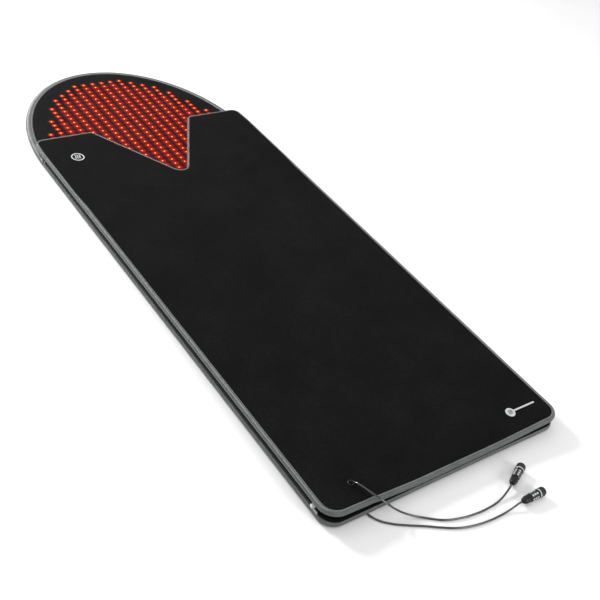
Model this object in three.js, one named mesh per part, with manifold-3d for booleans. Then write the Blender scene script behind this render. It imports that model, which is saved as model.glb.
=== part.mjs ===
// Infrared sauna blanket: a padded base mat with a rounded head end, and a padded
// cover with a V-shaped neck that closes onto it with a zip down each long side.
// Each panel is a sandwich of outer skin, foam, heater boards and lining, held
// together by an edge binding, and each has its own low-voltage lead and plug.
//
// Millimetres, +Z up, +Y towards the head, +X to the right seen from the foot.
// The origin is on the floor under the middle of the mat.

import * as THREE from "three";
import { mergeVertices } from "three/addons/utils/BufferGeometryUtils.js";
import Module from "manifold-3d";

const wasm = await Module();
wasm.setup();

// ---------------------------------------------------------------- dimensions

const GAP = 0.3; // clearance between pieces that touch

const HALF_WIDTH = 380;
const HALF_LENGTH = 1025;
const HEAD_RISE = 502; // length of the half-elliptical head end
const HEAD_START_Y = HALF_LENGTH - HEAD_RISE;
const FOOT_CORNER_R = 45;

const PANEL = 20; // thickness of each padded panel
const PANEL_SPACING = 10; // height of the zip between the two panels
const COVER_TOP = 2 * PANEL + PANEL_SPACING;
const ZIP_Z = PANEL + PANEL_SPACING / 2;

const SHOULDER_Y = 600;
const SHOULDER_R = 28;
const NECK_HALF_WIDTH = 178;
const NECK_EDGE_R = 18;
const NECK_TIP_Y = 285;
const NECK_TIP_R = 26;
const SHOULDER_X = HALF_WIDTH * Math.sqrt(1 - ((SHOULDER_Y - HEAD_START_Y) / HEAD_RISE) ** 2);

// Layers of a panel, as depths from its outer face.
const CLOTH = 1.5;
const BINDING_WALL = 2;
const BINDING_TURN = 14; // how far the binding folds in over each face
const SKIN_DEPTH = 3;
const FOAM_DEPTH = 16.2;
const LINING_DEPTH = 16.5;
const RIM_INSET = BINDING_WALL + GAP;
const FACE_INSET = BINDING_TURN + GAP;

// Heater boards, in a tray in the foam.
const BOARD_INSET = 60;
const TRAY_INSET = 50;
const BOARD_DEPTHS = [12.3, 15.3];
const TRAY_DEPTH = 12;
const BOARD_JOINTS_Y = [-965, -478, 8, 494, 975];
const BOARD_SPACE = 5; // between one board and the next

// Wiring inside each panel.
const BLOCK = { width: 44, length: 30, depths: [4, 11.6], corner: 4 };
const BUS = { diameter: 3, channel: 5, depth: 10, sides: 6, steps: 60, x: -345, endY: 500, bend: 12 };

// Free leads and their plugs.
const LEAD_DIAMETER = 5;
const LEAD_SIDES = 8;
const BASE_EXIT = { x: -262, y: -978, z: 2.8 };
const COVER_EXIT = { x: -276, y: -960 };
const GLAND = { width: 16, length: 27, height: 8 };
const LEAD_GROOVE = { width: 8, height: 6 };
const EYELET = { inner: 4.2, outer: 8.5, height: 3 };

// Zips.
const ZIP_X = 378;
const ZIP_FOOT_Y = -968;
const ZIP_HEAD_Y = 520;
const TAPE_THICKNESS = 1;
const COIL_THICKNESS = 2.6;
const SLIDER = { length: 13, half: 2.2, bore: 1.6, height: 8.8 };
const PULLER = { length: 22, width: 6.8, thickness: 1, bar: 1.2 };

const CORNER_STEPS = 6;
const HEAD_STEPS = 28;
const ROUND_STEPS = 20;

// ---------------------------------------------------------------- materials

const finish = (color, roughness, metalness = 0) =>
  new THREE.MeshStandardMaterial({ color, roughness, metalness });

const MATERIALS = {
  skin: finish(0x1b1c1b, 0.72),
  foam: finish(0xc9c6bd, 0.95),
  board: finish(0x5a1512, 0.55),
  lining: finish(0x272727, 0.6),
  binding: finish(0x858787, 0.8),
  tape: finish(0x121212, 0.85),
  coil: finish(0x1c1c1d, 0.45),
  metal: finish(0x8c8e90, 0.35, 0.9),
  slider: finish(0xe8e8e6, 0.4),
  plastic: finish(0x17181a, 0.5),
  rubber: finish(0x0e0e0f, 0.55),
  cable: finish(0x0a0a0b, 0.3),
  insert: finish(0xb9bbb8, 0.5),
  badge: finish(0xd3d5d4, 0.5),
};

// ---------------------------------------------------------------- shape tools

/** Points along an elliptical arc, both ends included. */
function arc(cx, cy, rx, ry, from, to, steps) {
  return Array.from({ length: steps + 1 }, (_, i) => {
    const angle = from + ((to - from) * i) / steps;
    return new THREE.Vector2(cx + rx * Math.cos(angle), cy + ry * Math.sin(angle));
  });
}

/** Outline of the mat, moved inwards by inset. */
function matOutline(inset) {
  const side = HALF_WIDTH - inset;
  const foot = inset - HALF_LENGTH;
  const r = Math.max(FOOT_CORNER_R - inset, 2);
  return [
    ...arc(r - side, foot + r, r, r, Math.PI, 1.5 * Math.PI, CORNER_STEPS),
    ...arc(side - r, foot + r, r, r, -0.5 * Math.PI, 0, CORNER_STEPS),
    ...arc(0, HEAD_START_Y, side, HEAD_RISE - inset, 0, Math.PI, HEAD_STEPS),
  ];
}

/** A polygon's outline, moved inwards by inset, with an arc of radius r at each corner. */
function roundedOutline(corners, inset = 0) {
  const count = corners.length;
  const heading = (a, b) => new THREE.Vector2(b.x - a.x, b.y - a.y).normalize();
  const leftOf = (v) => new THREE.Vector2(-v.y, v.x);
  return corners.flatMap((corner, i) => {
    const arriving = heading(corners[(i + count - 1) % count], corner);
    const leaving = heading(corner, corners[(i + 1) % count]);
    const turn = Math.atan2(arriving.cross(leaving), arriving.dot(leaving));
    const inwards = leftOf(arriving).add(leftOf(leaving));
    inwards.multiplyScalar(inset / (1 + arriving.dot(leaving)));
    const tip = new THREE.Vector2(corner.x, corner.y).add(inwards);
    const r = Math.max(corner.r - inset * Math.sign(turn), 2);
    const start = tip.clone().addScaledVector(arriving, -r * Math.tan(Math.abs(turn) / 2));
    const centre = start.clone().addScaledVector(leftOf(arriving), r * Math.sign(turn));
    return Array.from({ length: CORNER_STEPS + 1 }, (_, k) =>
      start.clone().rotateAround(centre, (turn * k) / CORNER_STEPS)
    );
  });
}

/** Outline of the cover, moved inwards by inset. */
function coverOutline(inset) {
  const right = [
    { x: HALF_WIDTH, y: -HALF_LENGTH, r: FOOT_CORNER_R },
    { x: HALF_WIDTH, y: HEAD_START_Y, r: 300 },
    { x: SHOULDER_X, y: SHOULDER_Y, r: SHOULDER_R },
    { x: NECK_HALF_WIDTH, y: SHOULDER_Y, r: NECK_EDGE_R },
  ];
  const tip = { x: 0, y: NECK_TIP_Y, r: NECK_TIP_R };
  const left = right.map((corner) => ({ ...corner, x: -corner.x })).reverse();
  return roundedOutline([...right, tip, ...left], inset);
}

/** A rectangle with rounded corners. */
function roundedRectangle(cx, cy, width, length, r) {
  const [w, l] = [width / 2, length / 2];
  const corners = [[-w, -l], [w, -l], [w, l], [-w, l]];
  return roundedOutline(corners.map(([x, y]) => ({ x: cx + x, y: cy + y, r })));
}

/** A flat-sided solid standing on an outline between two heights. */
function slab(outline, z0, z1) {
  const low = Math.min(z0, z1);
  const depth = Math.abs(z1 - z0);
  const options = { depth, bevelEnabled: false, curveSegments: 1 };
  return new THREE.ExtrudeGeometry(new THREE.Shape(outline), options).translate(0, 0, low);
}

/** A box between two corners. */
function block(x0, x1, y0, y1, z0, z1) {
  const box = new THREE.BoxGeometry(Math.abs(x1 - x0), Math.abs(y1 - y0), Math.abs(z1 - z0));
  return box.translate((x0 + x1) / 2, (y0 + y1) / 2, (z0 + z1) / 2);
}

/** A round tube along a curve, with flat ends. */
function tube(curve, diameter, steps, sides = LEAD_SIDES) {
  const section = arc(0, 0, diameter / 2, diameter / 2, 0, 2 * Math.PI, sides).slice(0, -1);
  const options = { steps, extrudePath: curve, bevelEnabled: false, curveSegments: 1 };
  return new THREE.ExtrudeGeometry(new THREE.Shape(section), options);
}

/** A turned solid about +Z from [radius, height] pairs. */
function turned(profile, segments = ROUND_STEPS) {
  const points = profile.map(([radius, height]) => new THREE.Vector2(radius, height));
  return new THREE.LatheGeometry(points, segments).rotateX(Math.PI / 2);
}

/** A smooth curve through a list of [x, y, z] points. */
function route(points) {
  const vectors = points.map((point) => new THREE.Vector3(...point));
  return new THREE.CatmullRomCurve3(vectors, false, "centripetal");
}

/** The manifold solid of a closed geometry. */
function solidOf(geometry) {
  const bare = geometry.clone();
  bare.deleteAttribute("normal");
  bare.deleteAttribute("uv");
  const merged = mergeVertices(bare, 1e-4);
  const mesh = new wasm.Mesh({
    numProp: 3,
    vertProperties: new Float32Array(merged.attributes.position.array),
    triVerts: new Uint32Array(merged.index.array),
  });
  return new wasm.Manifold(mesh);
}

/** The geometry of a manifold solid. */
function geometryOf(solid) {
  const mesh = solid.getMesh();
  const geometry = new THREE.BufferGeometry();
  geometry.setAttribute("position", new THREE.BufferAttribute(mesh.vertProperties, 3));
  geometry.setIndex(new THREE.BufferAttribute(mesh.triVerts, 1));
  return geometry;
}

/** Several overlapping solids as one. */
const join = (...parts) => geometryOf(parts.map(solidOf).reduce((all, part) => all.add(part)));

/** A solid less the others. */
const cut = (whole, ...tools) =>
  geometryOf(tools.map(solidOf).reduce((left, tool) => left.subtract(tool), solidOf(whole)));

/** What two solids share. */
const common = (a, b) => geometryOf(solidOf(a).intersect(solidOf(b)));

// ---------------------------------------------------------------- the assembly

const blanket = new THREE.Group();

/** Adds a named piece to the blanket. */
function add(name, geometry, material) {
  const mesh = new THREE.Mesh(geometry, material);
  mesh.name = name;
  blanket.add(mesh);
  return mesh;
}

/** A panel's solid between two depths from its outer face. */
const layer = (panel, outline, from, to) =>
  slab(outline, panel.face + panel.inwards * from, panel.face + panel.inwards * to);

/** A panel's box between two depths from its outer face. */
const pocket = (panel, x0, x1, y0, y1, from, to) =>
  block(x0, x1, y0, y1, panel.face + panel.inwards * from, panel.face + panel.inwards * to);

/** The cloth of one face: a flat field and a thinner rim that runs in under the binding. */
function facing(panel, faceDepth, rimDepth) {
  const middle = (faceDepth + rimDepth) / 2;
  const field = layer(panel, panel.outline(FACE_INSET), faceDepth, rimDepth);
  const rim = layer(panel, panel.outline(RIM_INSET), middle, rimDepth);
  return join(field, rim);
}

/** The folded tape around a panel's edge: a wall with a turn over each face. */
function binding(panel) {
  const ring = (width, from, to) =>
    cut(layer(panel, panel.outline(0), from, to),
      layer(panel, panel.outline(width), from - 1, to + 1));
  return join(
    ring(BINDING_WALL, 0, PANEL),
    ring(BINDING_TURN, 0, CLOTH),
    ring(BINDING_TURN, PANEL - CLOTH, PANEL)
  );
}

/** The junction block's outline, with room all round it if asked. */
const blockOutline = (panel, room = 0) =>
  roundedRectangle(panel.block.x, panel.block.y, BLOCK.width + 2 * room,
    BLOCK.length + 2 * room, BLOCK.corner);

/** The bus cable's way from the junction block up the left margin to the last board. */
function busRoute(panel) {
  const z = panel.face + panel.inwards * BUS.depth;
  const startX = panel.block.x - BLOCK.width / 2 - GAP;
  const { x, endY, bend } = BUS;
  return route([
    [startX, panel.block.y, z],
    [x + bend, panel.block.y, z],
    [x, panel.block.y + bend, z],
    [x, panel.block.y + 200, z],
    [x, endY - 200, z],
    [x, endY - bend, z],
    [x + bend, endY, z],
    [x + 2 * bend, endY, z],
  ]);
}

/** The foam, with a tray for the boards, a pocket for the block and a channel for the bus. */
function foam(panel) {
  const through = FOAM_DEPTH + 1;
  return cut(
    layer(panel, panel.outline(RIM_INSET), SKIN_DEPTH + GAP, FOAM_DEPTH),
    layer(panel, panel.outline(TRAY_INSET), TRAY_DEPTH, through),
    layer(panel, blockOutline(panel, GAP), SKIN_DEPTH - 1, through),
    tube(busRoute(panel), BUS.channel, BUS.steps, BUS.sides),
    ...panel.cuts
  );
}

/** The layers of one panel. */
function addPanel(panel) {
  const { name } = panel;
  add(`${name}_outer_skin`, cut(facing(panel, 0, SKIN_DEPTH), ...panel.cuts), MATERIALS.skin);
  add(`${name}_foam_core`, foam(panel), MATERIALS.foam);
  panel.boards.forEach((board, i) => {
    const low = BOARD_JOINTS_Y[i] + BOARD_SPACE / 2;
    const high = BOARD_JOINTS_Y[i + 1] - BOARD_SPACE / 2;
    const sheet = layer(panel, panel.outline(BOARD_INSET), ...BOARD_DEPTHS);
    const band = pocket(panel, -HALF_WIDTH, HALF_WIDTH, low, high, 0, PANEL);
    add(`${name}_led_board_${board}`, common(sheet, band), MATERIALS.board);
  });
  add(`${name}_inner_lining`, facing(panel, PANEL, LINING_DEPTH), MATERIALS.lining);
  add(`${name}_edge_binding`, cut(binding(panel), ...panel.cuts), MATERIALS.binding);
  add(`${name}_junction_block`, layer(panel, blockOutline(panel), ...BLOCK.depths),
    MATERIALS.plastic);
  add(`${name}_bus_cable`, tube(busRoute(panel), BUS.diameter, BUS.steps, BUS.sides),
    MATERIALS.cable);
}

/** A round in-line plug: cable boot, grip shell, coupling ring and contact insert. */
function addPlug(name, position, heading) {
  const parts = {
    boot: [[0, 4], [2.9, 4], [2.9, 0], [5.2, 0], [7.6, 3], [9.2, 8], [10, 15], [10, 24], [0, 24]],
    shell: [[0, 24.3], [10.4, 24.3], [11, 26], [11, 48.5], [10.4, 50], [8.7, 50], [8.7, 53],
      [0, 53]],
    ring: [[9.2, 50.3], [11.4, 50.3], [12, 51.5], [12, 70.5], [11.2, 72], [9.2, 72],
      [9.2, 50.3]],
    insert: [[0, 53.3], [8.9, 53.3], [8.9, 66], [7.2, 66], [7.2, 58], [0, 58]],
  };
  const finishes = {
    boot: MATERIALS.rubber,
    shell: MATERIALS.plastic,
    ring: MATERIALS.plastic,
    insert: MATERIALS.insert,
  };
  for (const [part, profile] of Object.entries(parts)) {
    const mesh = add(`${name}_plug_${part}`, turned(profile), finishes[part]);
    mesh.position.set(...position);
    mesh.rotation.set(0, Math.PI / 2, heading, "ZYX");
  }
}

/** The two halves of one side's zip, its slider and its puller. */
function addZip(name, x, sliderY) {
  const part = (half, y0, y1, z0, z1) => block(x - half, x + half, y0, y1, z0, z1);
  const tape = TAPE_THICKNESS / 2;
  const coil = COIL_THICKNESS / 2;
  const low = PANEL + GAP;
  const high = PANEL + PANEL_SPACING - GAP;
  const pinEnd = ZIP_FOOT_Y + SLIDER.length;
  const coverHead = ZIP_HEAD_Y - SLIDER.length - 4;

  // Mat half: tape, teeth, retaining box at the foot and stop at the head.
  add(`${name}_base_tape`, part(tape, ZIP_FOOT_Y, ZIP_HEAD_Y, low, 22), MATERIALS.tape);
  add(`${name}_base_coil`, part(coil, ZIP_FOOT_Y, ZIP_HEAD_Y, 22.3, 24.3), MATERIALS.coil);
  add(`${name}_box`, part(2, ZIP_FOOT_Y - 12, ZIP_FOOT_Y - GAP, low, 27.7), MATERIALS.plastic);
  add(`${name}_base_stop`, part(1.5, ZIP_HEAD_Y + GAP, ZIP_HEAD_Y + 3.5, low, 24.6),
    MATERIALS.metal);

  // Cover half: the pin at its foot drops into the slider's mouth.
  add(`${name}_cover_tape`, part(tape, pinEnd, coverHead, 28, high), MATERIALS.tape);
  add(`${name}_cover_coil`, part(coil, pinEnd, coverHead, 25.7, 27.7), MATERIALS.coil);
  add(`${name}_cover_pin`, part(0.6, ZIP_FOOT_Y + GAP, pinEnd - GAP, 25.9, 27.4),
    MATERIALS.metal);
  add(`${name}_cover_stop`, part(1.5, coverHead + GAP, coverHead + 3.3, 25.6, high),
    MATERIALS.metal);

  // Slider: two blades, the post that parts the teeth, the lips that hold the
  // mat's tape, and the crown that the puller hangs in.
  const y0 = sliderY - SLIDER.length / 2;
  const y1 = sliderY + SLIDER.length / 2;
  const bottom = ZIP_Z - SLIDER.height / 2;
  const top = ZIP_Z + SLIDER.height / 2;
  const crown = { base: x - SLIDER.half, under: x - 4, outer: x - 4.8, reach: 3.5 };
  const leg = (y) =>
    block(crown.base + 0.2, crown.outer, y - 0.5, y + 0.5, ZIP_Z - 0.8, ZIP_Z + 0.8);
  add(`${name}_slider`, join(
    block(x - SLIDER.half, x - SLIDER.bore, y0, y1, bottom, top),
    block(x + SLIDER.bore, x + SLIDER.half, y0, y1, bottom, top),
    block(x - 1.8, x - 0.8, y0, y1, bottom, 22),
    block(x + 0.8, x + 1.8, y0, y1, bottom, 22),
    block(x - 1.8, x + 1.8, y1 - 4, y1, 24.55, 25.45),
    leg(sliderY - crown.reach + 0.5),
    leg(sliderY + crown.reach - 0.5),
    block(crown.under, crown.outer, sliderY - crown.reach, sliderY + crown.reach,
      ZIP_Z - 0.8, ZIP_Z + 0.8)
  ), MATERIALS.slider);

  // Puller: a flat tag whose end bar turns in the crown.
  const pin = x - 3.1;
  const [front, back] = [pin - PULLER.thickness / 2, pin + PULLER.thickness / 2];
  const eye = 1.4;
  const end = sliderY + PULLER.bar / 2;
  add(`${name}_puller`, cut(
    block(front, back, end - PULLER.length, end, ZIP_Z - PULLER.width / 2,
      ZIP_Z + PULLER.width / 2),
    block(front - 1, back + 1, end - PULLER.bar - 5, end - PULLER.bar, ZIP_Z - eye, ZIP_Z + eye)
  ), MATERIALS.metal);
}

// Base mat.
const base = {
  name: "base",
  face: 0,
  inwards: 1,
  outline: matOutline,
  boards: ["legs", "seat", "back", "head"],
  block: { x: BASE_EXIT.x, y: BASE_EXIT.y + GLAND.length + BLOCK.length / 2 + 2 * GAP },
  cuts: [
    block(BASE_EXIT.x - LEAD_GROOVE.width / 2, BASE_EXIT.x + LEAD_GROOVE.width / 2,
      -HALF_LENGTH - 5, BASE_EXIT.y + 1, -1, LEAD_GROOVE.height),
    block(BASE_EXIT.x - GLAND.width / 2 - GAP, BASE_EXIT.x + GLAND.width / 2 + GAP,
      BASE_EXIT.y - GAP, BASE_EXIT.y + GLAND.length + 2 * GAP, -1, GLAND.height + GAP),
  ],
};
addPanel(base);
add("base_lead_gland", slab(
  roundedRectangle(BASE_EXIT.x, BASE_EXIT.y + GLAND.length / 2, GLAND.width, GLAND.length, 3),
  GAP, GLAND.height
), MATERIALS.rubber);

// Cover.
const cover = {
  name: "cover",
  face: COVER_TOP,
  inwards: -1,
  outline: coverOutline,
  boards: ["legs", "waist", "chest"],
  block: { x: COVER_EXIT.x, y: COVER_EXIT.y + 6 },
  cuts: [
    turned([[0, 0], [EYELET.inner + 1, 0], [EYELET.inner + 1, 2 * PANEL], [0, 2 * PANEL]])
      .translate(COVER_EXIT.x, COVER_EXIT.y, COVER_TOP - 4),
  ],
};
addPanel(cover);
add("cover_lead_eyelet", turned([
  [EYELET.inner, 0], [EYELET.outer, 0], [EYELET.outer - 0.6, EYELET.height - 1],
  [EYELET.outer - 2, EYELET.height], [EYELET.inner + 1, EYELET.height],
  [EYELET.inner, EYELET.height - 1], [EYELET.inner, 0],
]).translate(COVER_EXIT.x, COVER_EXIT.y, COVER_TOP + GAP), MATERIALS.rubber);

const badgeZ = [COVER_TOP + GAP, COVER_TOP + 1.5];
const disc = (x, y, r) => slab(arc(x, y, r, r, 0, 2 * Math.PI, ROUND_STEPS).slice(0, -1), ...badgeZ);
add("cover_shoulder_badge", disc(-286, 470, 21), MATERIALS.badge);
add("cover_foot_badge", join(
  disc(249, -958, 14),
  slab(roundedRectangle(297, -958, 80, 9, 4), ...badgeZ)
), MATERIALS.badge);

// Zips: the left one is undone with its slider at the foot, the right one is closed.
addZip("zip_left", -ZIP_X, ZIP_FOOT_Y + SLIDER.length / 2);
addZip("zip_right", ZIP_X, ZIP_HEAD_Y - SLIDER.length / 2);

// Leads: the cover's arches up from its eyelet and drops over the foot edge, and the
// mat's runs out from under the foot edge. Both then lie on the floor.
const COVER_PLUG = { position: [114, -1117.5, 12.3], heading: (25.5 * Math.PI) / 180 };
const BASE_PLUG = { position: [100, -1169, 12.3], heading: 0 };
const COVER_LEAD_ROUTE = [
  [-276, -960, 46.6], [-276, -960.3, 53], [-276, -970, 64], [-274, -986, 70.5],
  [-264, -1012, 70], [-240, -1041, 55], [-211, -1058, 30], [-177, -1075, 11],
  [-145, -1093, 3.4], [-109, -1117, 2.8], [-70, -1131, 2.7], [-25, -1139, 2.7],
  [20, -1140.5, 2.7], [56, -1137, 3.4], [84, -1129.5, 7.5], [103, -1122.5, 11.3],
  [116, -1116.5, 12.3],
];
const BASE_LEAD_ROUTE = [
  [BASE_EXIT.x, BASE_EXIT.y - GAP, BASE_EXIT.z], [-262, -1000, 2.8], [-261, -1024, 2.8],
  [-250, -1048, 2.7], [-226, -1071, 2.7], [-195, -1091, 2.7], [-158, -1112, 2.7],
  [-126, -1132, 2.7], [-90, -1151, 2.7], [-55, -1162, 2.7], [-15, -1168.5, 2.7],
  [27, -1170.5, 2.7], [52, -1170.2, 3.8], [74, -1169.6, 8], [90, -1169.1, 11.6],
  [102.5, -1169, 12.3],
];
const LEAD_STEPS = 46;

add("cover_lead", tube(route(COVER_LEAD_ROUTE), LEAD_DIAMETER, LEAD_STEPS), MATERIALS.cable);
add("base_lead", tube(route(BASE_LEAD_ROUTE), LEAD_DIAMETER, LEAD_STEPS), MATERIALS.cable);
addPlug("cover", COVER_PLUG.position, COVER_PLUG.heading);
addPlug("base", BASE_PLUG.position, BASE_PLUG.heading);

export default blanket;
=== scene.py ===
"""Infrared sauna blanket: padded mat and cover, lamp linings, binding, zips, leads and plugs."""

import logging
import math
from collections.abc import Callable, Iterable, Sequence
from dataclasses import dataclass, field
from enum import Enum
from functools import cache

import bmesh
import bpy
from mathutils import Matrix, Vector, noise
from mathutils.kdtree import KDTree


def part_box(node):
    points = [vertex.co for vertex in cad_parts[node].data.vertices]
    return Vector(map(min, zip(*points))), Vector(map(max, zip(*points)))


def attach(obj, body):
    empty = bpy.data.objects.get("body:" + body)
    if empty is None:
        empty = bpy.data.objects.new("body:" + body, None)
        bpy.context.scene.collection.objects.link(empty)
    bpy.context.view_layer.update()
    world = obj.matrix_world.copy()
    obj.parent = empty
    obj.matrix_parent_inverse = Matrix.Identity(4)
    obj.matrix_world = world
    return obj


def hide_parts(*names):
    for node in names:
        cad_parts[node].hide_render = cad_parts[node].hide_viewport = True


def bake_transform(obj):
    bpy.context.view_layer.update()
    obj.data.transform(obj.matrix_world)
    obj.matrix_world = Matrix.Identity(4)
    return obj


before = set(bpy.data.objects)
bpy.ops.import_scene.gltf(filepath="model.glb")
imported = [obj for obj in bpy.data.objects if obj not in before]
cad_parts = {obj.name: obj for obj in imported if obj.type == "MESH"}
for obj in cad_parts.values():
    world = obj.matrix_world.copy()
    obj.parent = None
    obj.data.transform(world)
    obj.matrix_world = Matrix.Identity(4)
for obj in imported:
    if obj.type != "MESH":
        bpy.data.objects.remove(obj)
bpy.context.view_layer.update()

log = logging.getLogger("sauna_blanket")

MM = 0.001
HALF_WIDTH = 0.380
HALF_LENGTH = 1.025
FOOT_RADIUS = 0.045
SIDE_TOP = 0.523
MERGE = 1e-6
SHARP = 0.5
Colour = tuple[float, float, float, float]
Height = Callable[[float, float], float]


# ------------------------------------------------------------------ small tools


def ease(share: float) -> float:
    """A share from 0 to 1, with a soft start and a soft end."""
    held = min(1.0, max(0.0, share))
    return held * held * (3 - 2 * held)


def ripple(x: float, y: float, length: float, seed: float = 0.0) -> float:
    """A smooth wave of about the given length, from -1 to 1, the same on every run."""
    return noise.noise(Vector((x / length, y / length, seed)))


def linear(code: str) -> Colour:
    """Turns an sRGB hex value into a linear colour.

    Args:
        code: Six hex digits after a hash sign.

    Returns:
        Red, green, blue and alpha.
    """
    channels = [int(code[i : i + 2], 16) / 255 for i in (1, 3, 5)]
    red, green, blue = (
        c / 12.92 if c <= 0.04045 else ((c + 0.055) / 1.055) ** 2.4 for c in channels
    )
    return red, green, blue, 1.0


def add_node(
    tree: bpy.types.NodeTree, kind: str, inputs: dict | None = None, **settings: object
) -> bpy.types.Node:
    """Adds a node with its settings and what goes into it.

    Args:
        tree: The node tree that it joins.
        kind: The node's type.
        inputs: For each input by name or number, a value or the socket that feeds it.
        **settings: The node's own settings.

    Returns:
        The new node.
    """
    node = tree.nodes.new(kind)
    for name, value in settings.items():
        setattr(node, name, value)
    for key, value in (inputs or {}).items():
        if isinstance(value, bpy.types.NodeSocket):
            tree.links.new(value, node.inputs[key])
        else:
            node.inputs[key].default_value = value
    return node


def finished(
    name: str, bm: bmesh.types.BMesh, *finishes: "Finish", smooth: bool = True
) -> bpy.types.Object:
    """Makes a scene object of a mesh under construction.

    Args:
        name: The piece's name.
        bm: The mesh, which is freed.
        *finishes: The finish of each material number.
        smooth: Whether its faces are shaded smooth.

    Returns:
        The object, at the origin.
    """
    mesh = bpy.data.meshes.new(name)
    for face in bm.faces:
        face.smooth = smooth
    bm.to_mesh(mesh)
    bm.free()
    for finish in finishes:
        mesh.materials.append(finish.material())
    piece = bpy.data.objects.new(name, mesh)
    bpy.context.scene.collection.objects.link(piece)
    log.info("%s: %d faces", name, len(mesh.polygons))
    return piece


def tidy_faces(bm: bmesh.types.BMesh) -> None:
    """Merges doubled points and turns every face outwards."""
    bmesh.ops.remove_doubles(bm, verts=bm.verts, dist=MERGE)
    bmesh.ops.recalc_face_normals(bm, faces=bm.faces)


def closed_ring(
    bm: bmesh.types.BMesh, points: Sequence[Vector]
) -> tuple[list[bmesh.types.BMVert], list[bmesh.types.BMEdge]]:
    """Adds a closed line of edges.

    Args:
        bm: The mesh that it joins.
        points: Its corners in order.

    Returns:
        Its points and its edges.
    """
    verts = [bm.verts.new(point) for point in points]
    edges = [bm.edges.new((verts[i - 1], verts[i])) for i in range(len(verts))]
    return verts, edges


def slice_at(bm: bmesh.types.BMesh, places: Iterable[float], normal: Vector) -> None:
    """Cuts a mesh by parallel planes.

    Args:
        bm: The mesh.
        places: How far along the normal each plane lies.
        normal: The planes' direction.
    """
    for place in places:
        bmesh.ops.bisect_plane(
            bm,
            geom=[*bm.verts, *bm.edges, *bm.faces],
            dist=1e-7,
            plane_co=normal * place,
            plane_no=normal,
        )


def cut_by_grid(
    bm: bmesh.types.BMesh, cell: tuple[float, float], extent: tuple[float, float]
) -> None:
    """Cuts a flat mesh along a grid whose lines pass through the origin.

    Args:
        bm: The flat mesh.
        cell: The grid's spacing along X and Y.
        extent: How far the grid reaches from the origin along X and Y.
    """
    for axis in (0, 1):
        normal = Vector((1.0, 0.0, 0.0)) if axis == 0 else Vector((0.0, 1.0, 0.0))
        lines = int(extent[axis] / cell[axis])
        slice_at(bm, (line * cell[axis] for line in range(-lines, lines + 1)), normal)


def scatter(unit: bpy.types.Mesh, places: Iterable[Matrix]) -> bmesh.types.BMesh:
    """Repeats a small mesh.

    Args:
        unit: The mesh to repeat, which is removed afterwards.
        places: Where each copy goes.

    Returns:
        All the copies as one mesh under construction.
    """
    bm = bmesh.new()
    for place in places:
        copy = unit.copy()
        copy.transform(place)
        bm.from_mesh(copy)
        bpy.data.meshes.remove(copy)
    bpy.data.meshes.remove(unit)
    return bm


def unit_mesh(bm: bmesh.types.BMesh) -> bpy.types.Mesh:
    """Turns a mesh under construction into a mesh to repeat.

    Args:
        bm: The mesh, which is freed.

    Returns:
        The mesh, on no object yet.
    """
    mesh = bpy.data.meshes.new("unit")
    bm.to_mesh(mesh)
    bm.free()
    return mesh


def turned(
    profile: Sequence[tuple[float, float]], steps: int, closed: bool = False
) -> bmesh.types.BMesh:
    """Spins a profile round the Z axis.

    Args:
        profile: Radius and height of each point, in millimetres.
        steps: How many faces go round.
        closed: Whether the profile's last point joins its first.

    Returns:
        The turned mesh, with its faces outwards.
    """
    bm = bmesh.new()
    verts = [bm.verts.new((radius * MM, 0.0, height * MM)) for radius, height in profile]
    edges = [bm.edges.new(pair) for pair in zip(verts, verts[1:])]
    if closed:
        edges.append(bm.edges.new((verts[-1], verts[0])))
    bmesh.ops.spin(
        bm,
        geom=[*verts, *edges],
        cent=(0, 0, 0),
        axis=(0, 0, 1),
        angle=math.tau,
        steps=steps,
        use_merge=True,
    )
    tidy_faces(bm)
    return bm


def soft_edges(bm: bmesh.types.BMesh, width: float, segments: int = 2) -> None:
    """Rounds every edge that turns by more than the sharp angle, about 30 degrees.

    Args:
        bm: The mesh.
        width: How wide the rounding is, in metres.
        segments: How many faces cross it.
    """
    sharp = [e for e in bm.edges if len(e.link_faces) == 2 and e.calc_face_angle() > SHARP]
    bmesh.ops.bevel(
        bm,
        geom=sharp,
        offset=width,
        offset_type="OFFSET",
        segments=segments,
        profile=0.5,
        affect="EDGES",
        clamp_overlap=True,
        material=-1,
    )


def softened(node: str, name: str, width: float, finish: "Finish") -> bpy.types.Object:
    """Makes a small hard piece from its CAD node, with rounded edges.

    Args:
        node: The CAD node that it stands for.
        name: The piece's name.
        width: How wide the rounding is, in metres.
        finish: Its finish.

    Returns:
        The piece, riding on no body yet.
    """
    bm = bmesh.new()
    bm.from_mesh(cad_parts[node].data)
    bmesh.ops.remove_doubles(bm, verts=bm.verts, dist=MERGE)
    bmesh.ops.dissolve_limit(bm, angle_limit=0.02, verts=bm.verts, edges=bm.edges)
    soft_edges(bm, width)
    piece = finished(name, bm, finish, smooth=False)
    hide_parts(node)
    return piece


# ------------------------------------------------------------------ finishes


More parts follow.
